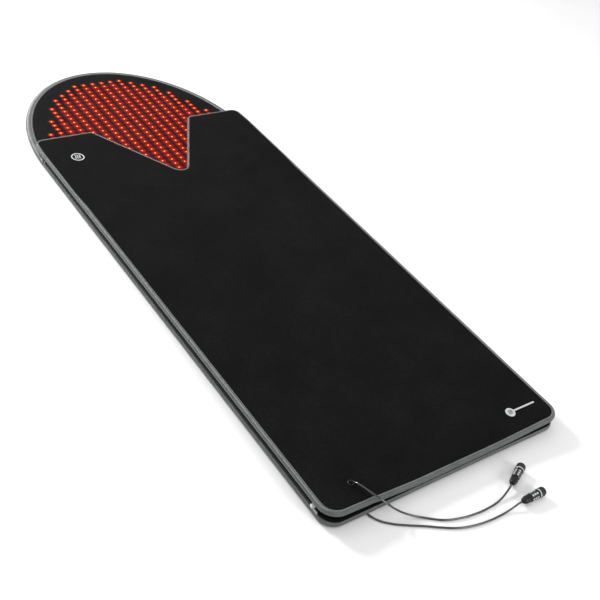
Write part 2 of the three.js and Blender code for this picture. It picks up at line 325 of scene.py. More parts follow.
@dataclass(frozen=True)
class Finish:
    """A finish whose colour mottles between two shades over a fine grain.

    Lengths are in millimetres.
    """

    name: str
    colour: str
    shade: str
    roughness: float
    grain: float
    depth: float
    mottle: float = 40.0
    metallic: float = 0.0
    specular: float = 0.5
    ior: float = 1.5
    sheen: float = 0.0
    coat: float = 0.0

    @cache
    def material(self) -> bpy.types.Material:
        """Makes the finish's material once."""
        material = bpy.data.materials.new(self.name)
        material.use_nodes = True
        tree = material.node_tree
        tree.nodes.clear()
        place = add_node(tree, "ShaderNodeTexCoord")
        shader = add_node(
            tree,
            "ShaderNodeBsdfPrincipled",
            {
                "Metallic": self.metallic,
                "Specular IOR Level": self.specular,
                "Coat Weight": self.coat,
                "Coat Roughness": 0.12,
                "Sheen Weight": self.sheen,
                "Sheen Roughness": 0.45,
            },
        )
        if not self.metallic:
            shader.inputs["IOR"].default_value = self.ior
        self.paint(tree, place, shader)
        add_node(tree, "ShaderNodeOutputMaterial", {"Surface": shader.outputs[0]})
        return material

    def paint(
        self, tree: bpy.types.NodeTree, place: bpy.types.Node, shader: bpy.types.Node
    ) -> None:
        """Feeds the shader's colour, roughness and bump.

        Args:
            tree: The material's node tree.
            place: Its texture coordinates.
            shader: Its surface shader.
        """
        cloud = self.speckle(tree, place, self.mottle, 4.0)
        fine = self.speckle(tree, place, self.grain, 3.0)
        both = add_node(
            tree, "ShaderNodeMath", {0: cloud, 1: fine}, operation="MULTIPLY"
        )
        inputs = {"Value": both.outputs[0], "From Min": 0.1, "From Max": 0.45}
        share = add_node(tree, "ShaderNodeMapRange", inputs)
        self.colour_between(tree, shader, share.outputs[0])
        self.gloss(tree, shader, cloud)
        self.bump(tree, shader, fine, self.depth)

    def speckle(
        self, tree: bpy.types.NodeTree, place: bpy.types.Node, size: float, detail: float
    ) -> bpy.types.NodeSocket:
        """Adds noise whose blotches are about the given size.

        Args:
            tree: The material's node tree.
            place: Its texture coordinates.
            size: The blotches' size.
            detail: How many finer layers it has.

        Returns:
            The noise's strength.
        """
        inputs = {"Vector": place.outputs["Object"], "Scale": 1 / (size * MM), "Detail": detail}
        return add_node(tree, "ShaderNodeTexNoise", inputs).outputs[0]

    def colour_between(
        self, tree: bpy.types.NodeTree, shader: bpy.types.Node, share: bpy.types.NodeSocket
    ) -> None:
        """Feeds the shader a colour between the finish's two.

        Args:
            tree: The material's node tree.
            shader: Its surface shader.
            share: How much of the second colour there is.
        """
        inputs = {0: share, 6: linear(self.colour), 7: linear(self.shade)}
        mix = add_node(tree, "ShaderNodeMix", inputs, data_type="RGBA")
        tree.links.new(mix.outputs[2], shader.inputs["Base Color"])

    def gloss(
        self, tree: bpy.types.NodeTree, shader: bpy.types.Node, share: bpy.types.NodeSocket
    ) -> None:
        """Lets the roughness drift a little either way.

        Args:
            tree: The material's node tree.
            shader: Its surface shader.
            share: What it drifts with.
        """
        low, high = self.roughness * 0.88, min(1.0, self.roughness * 1.12)
        inputs = {"Value": share, "To Min": low, "To Max": high}
        drift = add_node(tree, "ShaderNodeMapRange", inputs)
        tree.links.new(drift.outputs[0], shader.inputs["Roughness"])

    def bump(
        self,
        tree: bpy.types.NodeTree,
        shader: bpy.types.Node,
        height: bpy.types.NodeSocket,
        depth: float,
    ) -> None:
        """Feeds the shader a bump.

        Args:
            tree: The material's node tree.
            shader: Its surface shader.
            height: The relief, from 0 to 1.
            depth: How deep the relief is.
        """
        inputs = {"Height": height, "Distance": depth * MM, "Strength": 1.0}
        relief = add_node(tree, "ShaderNodeBump", inputs)
        tree.links.new(relief.outputs[0], shader.inputs["Normal"])


@dataclass(frozen=True)
class WovenFinish(Finish):
    """Cloth with threads along two axes."""

    thread: float = 1.0
    directions: tuple[str, str] = ("X", "Y")

    def paint(
        self, tree: bpy.types.NodeTree, place: bpy.types.Node, shader: bpy.types.Node
    ) -> None:
        """Feeds the shader a weave, see Finish.paint."""
        scale = math.tau / (20 * self.thread * MM)
        waves = []
        for direction in self.directions:
            inputs = {
                "Vector": place.outputs["Object"],
                "Scale": scale,
                "Distortion": 1.2,
                "Detail": 1.0,
            }
            wave = add_node(tree, "ShaderNodeTexWave", inputs, bands_direction=direction)
            waves.append(wave.outputs[1])
        weave = add_node(
            tree, "ShaderNodeMath", {0: waves[0], 1: waves[1]}, operation="MULTIPLY"
        )
        cloud = self.speckle(tree, place, self.mottle, 3.0)
        fibre = self.speckle(tree, place, self.grain, 2.0)
        blotch = add_node(
            tree, "ShaderNodeMath", {0: cloud, 1: fibre}, operation="MULTIPLY"
        )
        share = add_node(
            tree,
            "ShaderNodeMath",
            {0: weave.outputs[0], 1: 0.35, 2: blotch.outputs[0]},
            operation="MULTIPLY_ADD",
            use_clamp=True,
        )
        self.colour_between(tree, shader, share.outputs[0])
        self.gloss(tree, shader, cloud)
        relief = add_node(
            tree, "ShaderNodeMath", {0: weave.outputs[0], 1: fibre}, operation="ADD"
        )
        self.bump(tree, shader, relief.outputs[0], self.depth)


@dataclass(frozen=True)
class BindingFinish(Finish):
    """Ribbed edging tape with a row of stitches, laid along the piece's UV map; each rib's hollow
    is darker with painted shade.

    U runs along the tape and V across it, both in metres.
    """

    rib: float = 3.2
    stitch: float = 4.5
    stitch_line: float = 2.0
    thread: str = "#8B8D8D"

    def paint(
        self, tree: bpy.types.NodeTree, place: bpy.types.Node, shader: bpy.types.Node
    ) -> None:
        """Feeds the shader ribs with painted shade in their hollows, and stitches, see
        Finish.paint.
        """
        axes = add_node(tree, "ShaderNodeSeparateXYZ", {0: place.outputs["UV"]})
        along, across = axes.outputs[0], axes.outputs[1]
        phase = add_node(
            tree, "ShaderNodeMath", {0: along, 1: math.tau / (self.rib * MM)}, operation="MULTIPLY"
        )
        wave = add_node(tree, "ShaderNodeMath", {0: phase.outputs[0]}, operation="SINE")
        ribs = add_node(
            tree, "ShaderNodeMapRange", {"Value": wave.outputs[0], "From Min": -1.0}
        )
        place_on = add_node(
            tree, "ShaderNodeMath", {0: along, 1: 1 / (self.stitch * MM)}, operation="MULTIPLY"
        )
        step = add_node(tree, "ShaderNodeMath", {0: place_on.outputs[0]}, operation="FRACT")
        dash = add_node(
            tree, "ShaderNodeMath", {0: step.outputs[0], 1: 0.62}, operation="LESS_THAN"
        )
        off_line = add_node(
            tree, "ShaderNodeMath", {0: across, 1: self.stitch_line * MM}, operation="SUBTRACT"
        )
        apart = add_node(tree, "ShaderNodeMath", {0: off_line.outputs[0]}, operation="ABSOLUTE")
        near = add_node(
            tree, "ShaderNodeMath", {0: apart.outputs[0], 1: 0.45 * MM}, operation="LESS_THAN"
        )
        stitch = add_node(
            tree, "ShaderNodeMath", {0: dash.outputs[0], 1: near.outputs[0]}, operation="MULTIPLY"
        )
        cloud = self.speckle(tree, place, self.mottle, 3.0)
        # Painted shade: the colour runs from the dark shade in each rib's hollow to the light
        # colour on its crest, under a random mottle.
        share = add_node(
            tree, "ShaderNodeMath", {0: ribs.outputs[0], 1: cloud}, operation="MULTIPLY"
        )
        inputs = {0: share.outputs[0], 6: linear(self.shade), 7: linear(self.colour)}
        tape = add_node(tree, "ShaderNodeMix", inputs, data_type="RGBA")
        inputs = {0: stitch.outputs[0], 6: tape.outputs[2], 7: linear(self.thread)}
        dyed = add_node(tree, "ShaderNodeMix", inputs, data_type="RGBA")
        tree.links.new(dyed.outputs[2], shader.inputs["Base Color"])
        self.gloss(tree, shader, cloud)
        relief = add_node(
            tree,
            "ShaderNodeMath",
            {0: stitch.outputs[0], 1: 0.8, 2: ribs.outputs[0]},
            operation="MULTIPLY_ADD",
        )
        self.bump(tree, shader, relief.outputs[0], self.depth)


@dataclass(frozen=True)
class LampLiningFinish(Finish):
    """Coated lining with the red glow of the lamp under it painted on as light that the cloth
    gives off, in every lit cell.

    Each face carries two attributes: "lit", how much of the glow its cell gets, and
    "reach", how wide that glow is in millimetres.
    """

    pitch: tuple[float, float] = (34.3, 24.9)
    glow: str = "#DE0803"
    ember: str = "#860A06"
    core: float = 2.5
    inner_reach: float = 15.0
    strength: float = 0.92
    base_glow: float = 0.15

    def paint(
        self, tree: bpy.types.NodeTree, place: bpy.types.Node, shader: bpy.types.Node
    ) -> None:
        """Feeds the shader the cloth and the painted glow, see Finish.paint."""
        super().paint(tree, place, shader)
        axes = add_node(tree, "ShaderNodeSeparateXYZ", {0: place.outputs["Object"]})
        offsets = []
        for axis, pitch in enumerate(self.pitch):
            cells = add_node(
                tree,
                "ShaderNodeMath",
                {0: axes.outputs[axis], 1: 1 / (pitch * MM)},
                operation="MULTIPLY",
            )
            share = add_node(tree, "ShaderNodeMath", {0: cells.outputs[0]}, operation="FRACT")
            offset = add_node(
                tree,
                "ShaderNodeMath",
                {0: share.outputs[0], 1: pitch, 2: -pitch / 2},
                operation="MULTIPLY_ADD",
            )
            offsets.append(offset.outputs[0])
        from_lamp = add_node(
            tree, "ShaderNodeCombineXYZ", {0: offsets[0], 1: offsets[1], 2: 0.0}
        )
        away = add_node(
            tree, "ShaderNodeVectorMath", {0: from_lamp.outputs[0]}, operation="LENGTH"
        )
        halo = add_node(
            tree,
            "ShaderNodeMapRange",
            {
                "Value": away.outputs["Value"],
                "From Min": self.core,
                "To Min": 1.0,
                "To Max": 0.0,
            },
            interpolation_type="SMOOTHSTEP",
        )
        lit = add_node(tree, "ShaderNodeAttribute", attribute_name="lit")
        reach = add_node(tree, "ShaderNodeAttribute", attribute_name="reach")
        tree.links.new(reach.outputs["Fac"], halo.inputs["From Max"])
        within = add_node(
            tree,
            "ShaderNodeMath",
            {0: reach.outputs["Fac"], 1: self.inner_reach},
            operation="GREATER_THAN",
        )
        base = add_node(
            tree, "ShaderNodeMath", {0: within.outputs[0], 1: self.base_glow}, operation="MULTIPLY"
        )
        dim = add_node(
            tree,
            "ShaderNodeMath",
            {0: halo.outputs[0], 1: 1.0 - self.base_glow, 2: base.outputs[0]},
            operation="MULTIPLY_ADD",
        )
        level = add_node(
            tree, "ShaderNodeMath", {0: dim.outputs[0], 1: self.strength}, operation="MULTIPLY"
        )
        power = add_node(
            tree,
            "ShaderNodeMath",
            {0: level.outputs[0], 1: lit.outputs["Fac"]},
            operation="MULTIPLY",
        )
        # Painted light: the cloth itself gives off the red glow, brightest next to each lamp.
        inputs = {0: halo.outputs[0], 6: linear(self.ember), 7: linear(self.glow)}
        tint = add_node(tree, "ShaderNodeMix", inputs, data_type="RGBA")
        tree.links.new(tint.outputs[2], shader.inputs["Emission Color"])
        tree.links.new(power.outputs[0], shader.inputs["Emission Strength"])


@dataclass(frozen=True)
class LampFinish(Finish):
    """A lit lamp: a clear epoxy dome over an amber die."""

    strength: float = 1.1

    def paint(
        self, tree: bpy.types.NodeTree, place: bpy.types.Node, shader: bpy.types.Node
    ) -> None:
        """Feeds the shader the dome and its light, see Finish.paint."""
        super().paint(tree, place, shader)
        shader.inputs["Emission Color"].default_value = linear(self.colour)
        shader.inputs["Emission Strength"].default_value = self.strength


@dataclass(frozen=True)
class CircuitFinish(Finish):
    """A flexible circuit sheet: dyed film over copper tracks."""

    track: float = 8.6
    copper: str = "#8C3A22"

    def paint(
        self, tree: bpy.types.NodeTree, place: bpy.types.Node, shader: bpy.types.Node
    ) -> None:
        """Feeds the shader film and tracks, see Finish.paint."""
        scale = math.tau / (20 * self.track * MM)
        inputs = {"Vector": place.outputs["Object"], "Scale": scale, "Distortion": 0.0}
        wave = add_node(tree, "ShaderNodeTexWave", inputs, bands_direction="X")
        edge = add_node(
            tree,
            "ShaderNodeMapRange",
            {"Value": wave.outputs[1], "From Min": 0.55, "From Max": 0.7},
        )
        inputs = {0: edge.outputs[0], 6: linear(self.colour), 7: linear(self.copper)}
        mix = add_node(tree, "ShaderNodeMix", inputs, data_type="RGBA")
        tree.links.new(mix.outputs[2], shader.inputs["Base Color"])
        self.gloss(tree, shader, self.speckle(tree, place, self.mottle, 2.0))
        self.bump(tree, shader, edge.outputs[0], self.depth)


# Polyester scuba knit on the outside: close and matt, with a faint mottle and next to no shine.
# Its real loops are well under 1 mm apart, drawn coarser here so that they show.
COVER_CLOTH = WovenFinish(
    "scuba_knit_polyester_black", "#050605", "#1D1E1D", 0.88, 5.2, 0.3,
    mottle=120.0, specular=0.03, thread=2.4,
)
# Polyurethane-coated polyester inside: wipe-clean, a little smoother than the outer cloth, with a
# painted red glow given off round each lamp.
LINING_CLOTH = LampLiningFinish(
    "pu_coated_lining_painted_lamp_glow", "#0D0D0D", "#191919", 0.8, 2.4, 0.12,
    mottle=60.0, specular=0.03,
)
# Grosgrain edging tape, woven polyester: mid grey with ribs across it, each rib's hollow darker
# with painted shade. Real ribs are
# 1 to 1.5 mm apart, drawn coarser here so that they show.
BINDING_TAPE = BindingFinish(
    "grosgrain_tape_grey", "#6E7070", "#2E3030", 0.38, 2.0, 0.42, mottle=25.0,
    specular=0.55, sheen=0.05,
)
# Woven nylon zip tape: black and matt, with a fine straight weave.
ZIP_TAPE = WovenFinish(
    "woven_nylon_zip_tape", "#101011", "#1E1E1F", 0.8, 1.2, 0.12,
    mottle=30.0, specular=0.2, thread=0.9, directions=("Y", "Z"),
)
# The same woven nylon tape laid flat along the inner faces, round both sides and the foot: painted
# shade, darkening the gap between the panels.
GAP_SHADE_TAPE = WovenFinish(
    "black_tape_painted_gap_shade", "#0C0C0D", "#1A1A1B", 0.85, 1.2, 0.12,
    mottle=30.0, specular=0.1, thread=1.1,
)
# Nylon monofilament coil: black, smooth, with a soft shine along each tooth.
ZIP_TEETH = Finish(
    "nylon_coil_black", "#191A1B", "#2B2C2D", 0.38, 0.9, 0.03, mottle=14.0, specular=0.5,
    ior=1.53,
)
# Die-cast zinc with white baked enamel: smooth, slightly orange-peeled.
SLIDER_ENAMEL = Finish(
    "white_enamelled_zinc", "#F0F0EE", "#DADAD6", 0.3, 1.4, 0.03, mottle=9.0, coat=0.4,
)
# Nickel-plated zinc: grey mirror dulled by tumbling.
NICKEL = Finish(
    "nickel_plated_zinc", "#A6A7A6", "#8A8B8A", 0.3, 0.8, 0.02, mottle=8.0, metallic=1.0,
)
# Moulded acetal: satin black.
ACETAL = Finish(
    "moulded_acetal_black", "#161718", "#222324", 0.45, 0.9, 0.04, mottle=12.0, ior=1.48,
)
# ABS with a spark-eroded texture: black with fine grey sparkle.
PLUG_ABS = Finish(
    "spark_eroded_abs_black", "#070808", "#141516", 0.3, 0.7, 0.03, mottle=9.0, ior=1.53,
    specular=0.4, coat=0.15,
)
# The same ABS polished flat in the grip pads and in the coupling ring's pale band, coloured light
# grey as painted highlight: it stands in for the light that the flat faces catch.
PAD_HIGHLIGHT_ABS = Finish(
    "abs_grey_painted_highlight", "#A3A5A6", "#B9BBBC", 0.25, 1.1, 0.02, mottle=9.0, ior=1.53, coat=0.4,
)
# Thermoplastic rubber: black, soft-touch, with moulding haze.
BOOT_RUBBER = Finish(
    "thermoplastic_rubber_black", "#060606", "#101011", 0.4, 0.8, 0.04, mottle=10.0,
    specular=0.25,
)
# Nylon contact carrier: natural off-white.
CARRIER_NYLON = Finish(
    "natural_nylon", "#C9CBC8", "#AEB0AD", 0.46, 0.9, 0.03, mottle=7.0, ior=1.53,
)
# Flexible PVC sheath: glossy black with a faint drawn grain.
LEAD_PVC = Finish(
    "pvc_cable_sheath_black", "#080809", "#151516", 0.2, 1.3, 0.03, mottle=22.0, ior=1.53,
    specular=0.6, coat=0.5,
)
# Silicone transfer print: pale grey and slightly raised.
PRINT_SILICONE = Finish(
    "silicone_print_grey", "#B4B6B5", "#9FA1A0", 0.5, 1.0, 0.04, mottle=9.0, ior=1.41,
)
# The cloth-coloured ink inside the print.
PRINT_DARK = Finish(
    "silicone_print_black", "#1C1D1C", "#262726", 0.6, 1.0, 0.04, mottle=9.0, specular=0.2,
)
# Epoxy lamp dome over a lit amber die.
LAMP_EPOXY = LampFinish(
    "epoxy_lamp_amber", "#FFB02A", "#FF9A1C", 0.4, 0.8, 0.01, mottle=3.0, specular=0.1,
)
# Polyimide film over etched copper: deep red with copper tracks.
CIRCUIT = CircuitFinish(
    "polyimide_circuit_film", "#5A1512", "#6B1C16", 0.42, 1.0, 0.05, mottle=20.0, ior=1.6,
)
# Matt white paper sweep.
PAPER = Finish(
    "matt_white_paper", "#E1E1E1", "#DEDEDE", 0.9, 3.0, 0.01, mottle=300.0, specular=0.1
)


# ------------------------------------------------------------------ outlines


@dataclass(frozen=True)
class Corner:
    """A rounded corner of an outline."""

    x: float
    y: float
    radius: float


@dataclass
class Outline:
    """A closed outline that has the same count of points at every inset."""

    corner_steps: int = 10

    def arcs(self, inset: float) -> list[list[Vector]]:
        """Draws the outline's bends, moved inwards, in order anticlockwise."""
        raise NotImplementedError

    def points(self, inset: float, spacing: float) -> list[Vector]:
        """Draws the whole outline.

        Args:
            inset: How far it's moved inwards.
            spacing: How far apart points are on the straight stretches.

        Returns:
            Its points, anticlockwise, at height zero.
        """
        arcs, rest = self.arcs(inset), self.arcs(0.0)
        points: list[Vector] = []
        for index, bend in enumerate(arcs):
            following = (index + 1) % len(arcs)
            gap = (rest[following][0] - rest[index][-1]).length
            steps = max(1, round(gap / spacing))
            points += bend
            points += [bend[-1].lerp(arcs[following][0], k / steps) for k in range(1, steps)]
        return points

    def finder(self) -> KDTree:
        """Makes a search tree of the outline's points, 3 mm apart."""
        points = self.points(0.0, 3 * MM)
        tree = KDTree(len(points))
        for index, point in enumerate(points):
            tree.insert(point, index)
        tree.balance()
        return tree


def elliptic_arc(
    centre: tuple[float, float], radii: tuple[float, float], start: float, end: float, steps: int
) -> list[Vector]:
    """Draws part of an ellipse.

    Args:
        centre: Its middle.
        radii: Its half width and half length.
        start: The first angle, in half turns.
        end: The last angle, in half turns.
        steps: How many edges it has.

    Returns:
        Its points, both ends included.
    """
    angles = [math.pi * (start + (end - start) * k / steps) for k in range(steps + 1)]
    return [
        Vector((centre[0] + radii[0] * math.cos(a), centre[1] + radii[1] * math.sin(a), 0.0))
        for a in angles
    ]


@dataclass
class MatOutline(Outline):
    """The mat: square-cornered at the foot, half an ellipse at the head."""

    half_width: float = HALF_WIDTH
    half_length: float = HALF_LENGTH
    head_rise: float = 0.502
    foot_radius: float = FOOT_RADIUS
    head_steps: int = 110

    def arcs(self, inset: float) -> list[list[Vector]]:
        """Draws the two foot corners and the head, see Outline.arcs."""
        side = self.half_width - inset
        foot = inset - self.half_length
        radius = max(self.foot_radius - inset, 2 * MM)
        head_y = self.half_length - self.head_rise
        steps = self.corner_steps
        return [
            elliptic_arc((radius - side, foot + radius), (radius, radius), 1.0, 1.5, steps),
            elliptic_arc((side - radius, foot + radius), (radius, radius), 1.5, 2.0, steps),
            elliptic_arc((0.0, head_y), (side, self.head_rise - inset), 0.0, 1.0, self.head_steps),
        ]


@dataclass
class CoverOutline(Outline):
    """The cover: straight sides, shoulders and a V-shaped neck."""

    half_width: float = HALF_WIDTH
    half_length: float = HALF_LENGTH
    foot_radius: float = FOOT_RADIUS
    side_top: float = SIDE_TOP
    side_radius: float = 0.300
    shoulder_x: float = 0.37549
    shoulder_y: float = 0.600
    shoulder_radius: float = 0.028
    neck_x: float = 0.178
    neck_radius: float = 0.018
    tip_y: float = 0.285
    tip_radius: float = 0.026

    def corners(self) -> list[Corner]:
        """Lists the corners, anticlockwise from the right foot."""
        right = [
            Corner(self.half_width, -self.half_length, self.foot_radius),
            Corner(self.half_width, self.side_top, self.side_radius),
            Corner(self.shoulder_x, self.shoulder_y, self.shoulder_radius),
            Corner(self.neck_x, self.shoulder_y, self.neck_radius),
        ]
        left = [Corner(-c.x, c.y, c.radius) for c in reversed(right)]
        return [*right, Corner(0.0, self.tip_y, self.tip_radius), *left]

    def arcs(self, inset: float) -> list[list[Vector]]:
        """Draws the rounding of each corner, see Outline.arcs."""
        corners = self.corners()
        places = [Vector((c.x, c.y, 0.0)) for c in corners]
        arcs = []
        for index, corner in enumerate(corners):
            arriving = (places[index] - places[index - 1]).normalized()
            leaving = (places[(index + 1) % len(places)] - places[index]).normalized()
            turn = math.atan2(arriving.cross(leaving).z, arriving.dot(leaving))
            inwards = Vector((-arriving.y - leaving.y, arriving.x + leaving.x, 0.0))
            tip = places[index] + inwards * (inset / (1 + arriving.dot(leaving)))
            side = math.copysign(1.0, turn)
            radius = max(corner.radius - inset * side, 2 * MM)
            start = tip - arriving * (radius * math.tan(abs(turn) / 2))
            centre = start + Vector((-arriving.y, arriving.x, 0.0)) * (radius * side)
            spoke = start - centre
            arcs.append(
                [
                    centre + Matrix.Rotation(turn * k / self.corner_steps, 3, "Z") @ spoke
                    for k in range(self.corner_steps + 1)
                ]
            )
        return arcs


# ------------------------------------------------------------------ panels


@dataclass(frozen=True)
class Swell:
    """One smooth rise and fall of a panel's filling."""

    height: float
    length: float
    seed: float

    def at(self, x: float, y: float) -> float:
        """How far it lifts the face at a place."""
        return self.height * ripple(x, y, self.length, self.seed)


class Face(Enum):
    """Which way a panel's lamp lining faces."""

    UP = 1
    DOWN = -1


@dataclass
class Panel:
    """A padded panel: quilted body, lamp lining, lamps and edge binding."""

    body: str
    outline: Outline
    middle: float
    lining_side: Face
    turn: float = 0.0110
    swells: tuple[Swell, ...] = (Swell(0.0006, 0.22, 3.0), Swell(0.0002, 0.05, 9.0))
    neck_turn: float = 0.0110
    neck_start: float = 0.2
    neck_blend: float = 0.1
    half: float = 0.0098
    edge_half: float = 0.0080
    under_tape: float = 0.0065
    rim_thinning: float = 0.0006
    crown_reach: float = 0.014
    lining_thickness: float = 0.003
    lamp_pitch: tuple[float, float] = (0.0343, 0.0249)
    lamp_margin: float = 0.072
    lamp_grid: tuple[int, int] = (9, 42)
    cell_match: float = 0.004
    halo_search: float = 0.046
    # How strong and how wide the painted glow is, inside the lamp field and at its rim.
    inner_halo: tuple[float, float] = (1.0, 18.0)
    rim_halo: tuple[float, float] = (2.7, 12.4)
    ring_insets: tuple[float, ...] = (0.005, 0.008, 0.0125, 0.017, 0.023, 0.031, 0.040, 0.050)
    spacing: float = 0.011
    tape_spacing: float = 0.008
    tape_inset: float = 0.010
    puff: Swell = Swell(0.05, 0.045, 5.0)
    wander: Swell = Swell(0.03, 0.05, 8.0)
    body_cell: float = 0.013
    facing_top: float = SIDE_TOP
    facing_insets: tuple[float, ...] = (0.0032, 0.006, 0.011, 0.0155)
    facing_height: float = 1.02
    facing_thickness: float = 0.0007
    finder: KDTree = field(init=False)

    def __post_init__(self) -> None:
        """Prepares the search for the nearest edge."""
        self.finder = self.outline.finder()

    def edge_distance(self, x: float, y: float) -> float:
        """How far a place on the panel is from its edge."""
        return self.finder.find(Vector((x, y, 0.0)))[2]

    def lift(self, x: float, y: float) -> float:
        """How far the soft panel bends up or down from flat at a place."""
        return 0.0

    def wave(self, x: float, y: float) -> float:
        """How the filling makes the face rise and fall."""
        return sum(swell.at(x, y) for swell in self.swells)

    def half_thickness(self, x: float, y: float) -> float:
        """Half the panel's thickness at a place: full in the field, drawn in at the edge.

        Args:
            x: Place across the panel.
            y: Place along the panel.

        Returns:
            Half the thickness in metres.
        """
        turn = self.turn_at(y)
        inside = self.edge_distance(x, y) - turn
        if inside < 0.0:
            return self.under_tape + self.rim_thinning * inside / turn
        crown = 1.0 - math.exp(-inside / self.crown_reach)
        return self.under_tape + (self.half - self.under_tape) * crown

    def top(self, x: float, y: float) -> float:
        """The height of the panel's upper face."""
        return self.middle + self.half_thickness(x, y) + self.lift(x, y) + self.wave(x, y)

    def bottom(self, x: float, y: float) -> float:
        """The height of the panel's lower face."""
        return self.middle - self.half_thickness(x, y) + self.lift(x, y)

    def field_sheet(self, cell: tuple[float, float]) -> bmesh.types.BMesh:
        """Lays out the flat cloth of one face: rings along the edge and a grid inside.

        Args:
            cell: The grid's spacing.

        Returns:
            The flat sheet at height zero.
        """
        bm = bmesh.new()
        inner = self.outline.points(self.ring_insets[-1], self.spacing)
        bm.faces.new([bm.verts.new(point) for point in inner])
        cut_by_grid(bm, cell, (0.39, 1.05))
        rim = [e for e in bm.edges if e.is_boundary]
        rings = [
            closed_ring(bm, self.outline.points(inset, self.spacing))[1]
            for inset in self.ring_insets[:-1]
        ]
        for outer, within in zip(rings, rings[1:]):
            bmesh.ops.bridge_loops(bm, edges=[*outer, *within])
        last = rings[-1]
        bmesh.ops.triangle_fill(bm, edges=[*last, *rim], use_beauty=True, use_dissolve=False)
        bmesh.ops.remove_doubles(bm, verts=bm.verts, dist=MERGE)
        bmesh.ops.recalc_face_normals(bm, faces=bm.faces)
        return bm

    def thick_sheet(
        self, cell: tuple[float, float], low: Height, high: Height
    ) -> bmesh.types.BMesh:
        """Makes a closed sheet between two heights.

        Args:
            cell: The spacing of its grid.
            low: The height of its lower face at each place.
            high: The height of its upper face at each place.

        Returns:
            The closed sheet.
        """
        bm = self.field_sheet(cell)
        lower = list(bm.verts)
        made = bmesh.ops.extrude_face_region(bm, geom=list(bm.faces), use_keep_orig=True)
        upper = [v for v in made["geom"] if isinstance(v, bmesh.types.BMVert)]
        for vert in upper:
            vert.co.z = high(vert.co.x, vert.co.y)
        for vert in lower:
            vert.co.z = low(vert.co.x, vert.co.y)
        bmesh.ops.recalc_face_normals(bm, faces=bm.faces)
        return bm

    def lamp_places(self) -> list[tuple[float, float]]:
        """Lists the lamps' places: a square grid that keeps clear of the edge."""
        across, along = self.lamp_pitch
        places = []
        columns, rows = self.lamp_grid
        for column in range(-columns, columns):
            for row in range(-rows, rows):
                x, y = (column + 0.5) * across, (row + 0.5) * along
                if self.inside(x, y) and self.edge_distance(x, y) > self.lamp_margin:
                    places.append((x, y))
        return places

    def inside(self, x: float, y: float) -> bool:
        """Whether a place is within the outline.

        Args:
            x: Place across the panel.
            y: Place along the panel.

        Returns:
            True inside it.
        """
        points = self.outline.points(0.0, 0.05)
        crossings = 0
        for a, b in zip(points, points[1:] + points[:1]):
            if (a.y > y) != (b.y > y) and x < a.x + (b.x - a.x) * (y - a.y) / (b.y - a.y):
                crossings += 1
        return crossings % 2 == 1

    def build_body(self) -> bpy.types.Object:
        """Makes the padded body, of outer cloth over foam."""
        up = self.lining_side is Face.UP
        gap = self.lining_thickness + 0.0001
        bm = self.thick_sheet(
            (self.body_cell, self.body_cell),
            (lambda x, y: self.bottom(x, y)) if up else (lambda x, y: self.bottom(x, y) + gap),
            (lambda x, y: self.top(x, y) - gap) if up else (lambda x, y: self.top(x, y)),
        )
        piece = finished(f"{self.body}_padded_body", bm, COVER_CLOTH)
        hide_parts(f"{self.body}_outer_skin", f"{self.body}_foam_core")
        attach(piece, self.body)
        return piece

    def build_lining(self) -> bpy.types.Object:
        """Makes the lamp lining, with its lit cells marked for the painted glow."""
        thickness = self.lining_thickness
        if self.lining_side is Face.UP:
            low, high = (lambda x, y: self.top(x, y) - thickness), self.top
        else:
            low, high = self.bottom, (lambda x, y: self.bottom(x, y) + thickness)
        bm = self.thick_sheet(self.lamp_pitch, low, high)
        lit = bm.faces.layers.float.new("lit")
        reach = bm.faces.layers.float.new("reach")
        lamps = KDTree(len(self.lamp_places()))
        for index, (x, y) in enumerate(self.lamp_places()):
            lamps.insert(Vector((x, y, 0.0)), index)
        lamps.balance()
        for face in bm.faces:
            centre = face.calc_center_median()
            nearest = lamps.find(Vector((centre.x, centre.y, 0.0)))[2]
            around = len(lamps.find_range(Vector((centre.x, centre.y, 0.0)), self.halo_search))
            level, spread = self.inner_halo if around == 9 else self.rim_halo
            face[lit] = level if nearest < self.cell_match and len(face.verts) == 4 else 0.0
            face[reach] = spread
        piece = finished(f"{self.body}_lamp_lining", bm, LINING_CLOTH)
        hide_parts(f"{self.body}_inner_lining")
        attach(piece, self.body)
        return piece

    def build_lamps(self) -> bpy.types.Object:
        """Makes the lamp domes, each standing just through the lining."""
        side = float(self.lining_side.value)
        surface = self.top if side > 0 else self.bottom
        unit = turned([(0.0, 0.9), (1.6, 0.6), (2.5, -0.1), (2.5, -0.5), (0.0, -0.5)], 8)
        flip = Matrix.Diagonal((1.0, side, side, 1.0))
        places = [
            Matrix.Translation((x, y, surface(x, y))) @ flip for x, y in self.lamp_places()
        ]
        piece = finished(f"{self.body}_lamps", scatter(unit_mesh(unit), places), LAMP_EPOXY)
        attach(piece, self.body)
        return piece

    def binding_profile(self) -> list[tuple[float, float]]:
        """Draws the folded tape's section.

        Returns:
            Each point's inset and its height from the panel's middle, as shares of the
            tape's turn and of its half height, outside first and then back inside.
        """
        wall, roll, bend, steps = 0.10, 0.62, 0.85, 8
        lip, shoulder, crest = 0.90, 0.97, 1.04
        inner_lip, inner_shoulder, inner_crest = 0.80, 0.85, 0.9
        angles = [math.pi * (0.5 - k / steps) for k in range(steps + 1)]
        outer = [(1.0, lip), (bend, shoulder)]
        outer += [(roll - roll * math.cos(a), crest * math.sin(a)) for a in angles]
        outer += [(bend, -shoulder), (1.0, -lip)]
        inner = [(1.0, -inner_lip), (bend, -inner_shoulder)]
        inner += [
            (roll - (roll - wall) * math.cos(a), inner_crest * math.sin(a))
            for a in reversed(angles)
        ]
        inner += [(bend, inner_shoulder), (1.0, inner_lip)]
        return outer + inner

    def turn_at(self, y: float) -> float:
        """How far the tape turns in over the face, which changes towards the head."""
        share = ease((y - self.neck_start) / self.neck_blend)
        return self.turn + (self.neck_turn - self.turn) * share

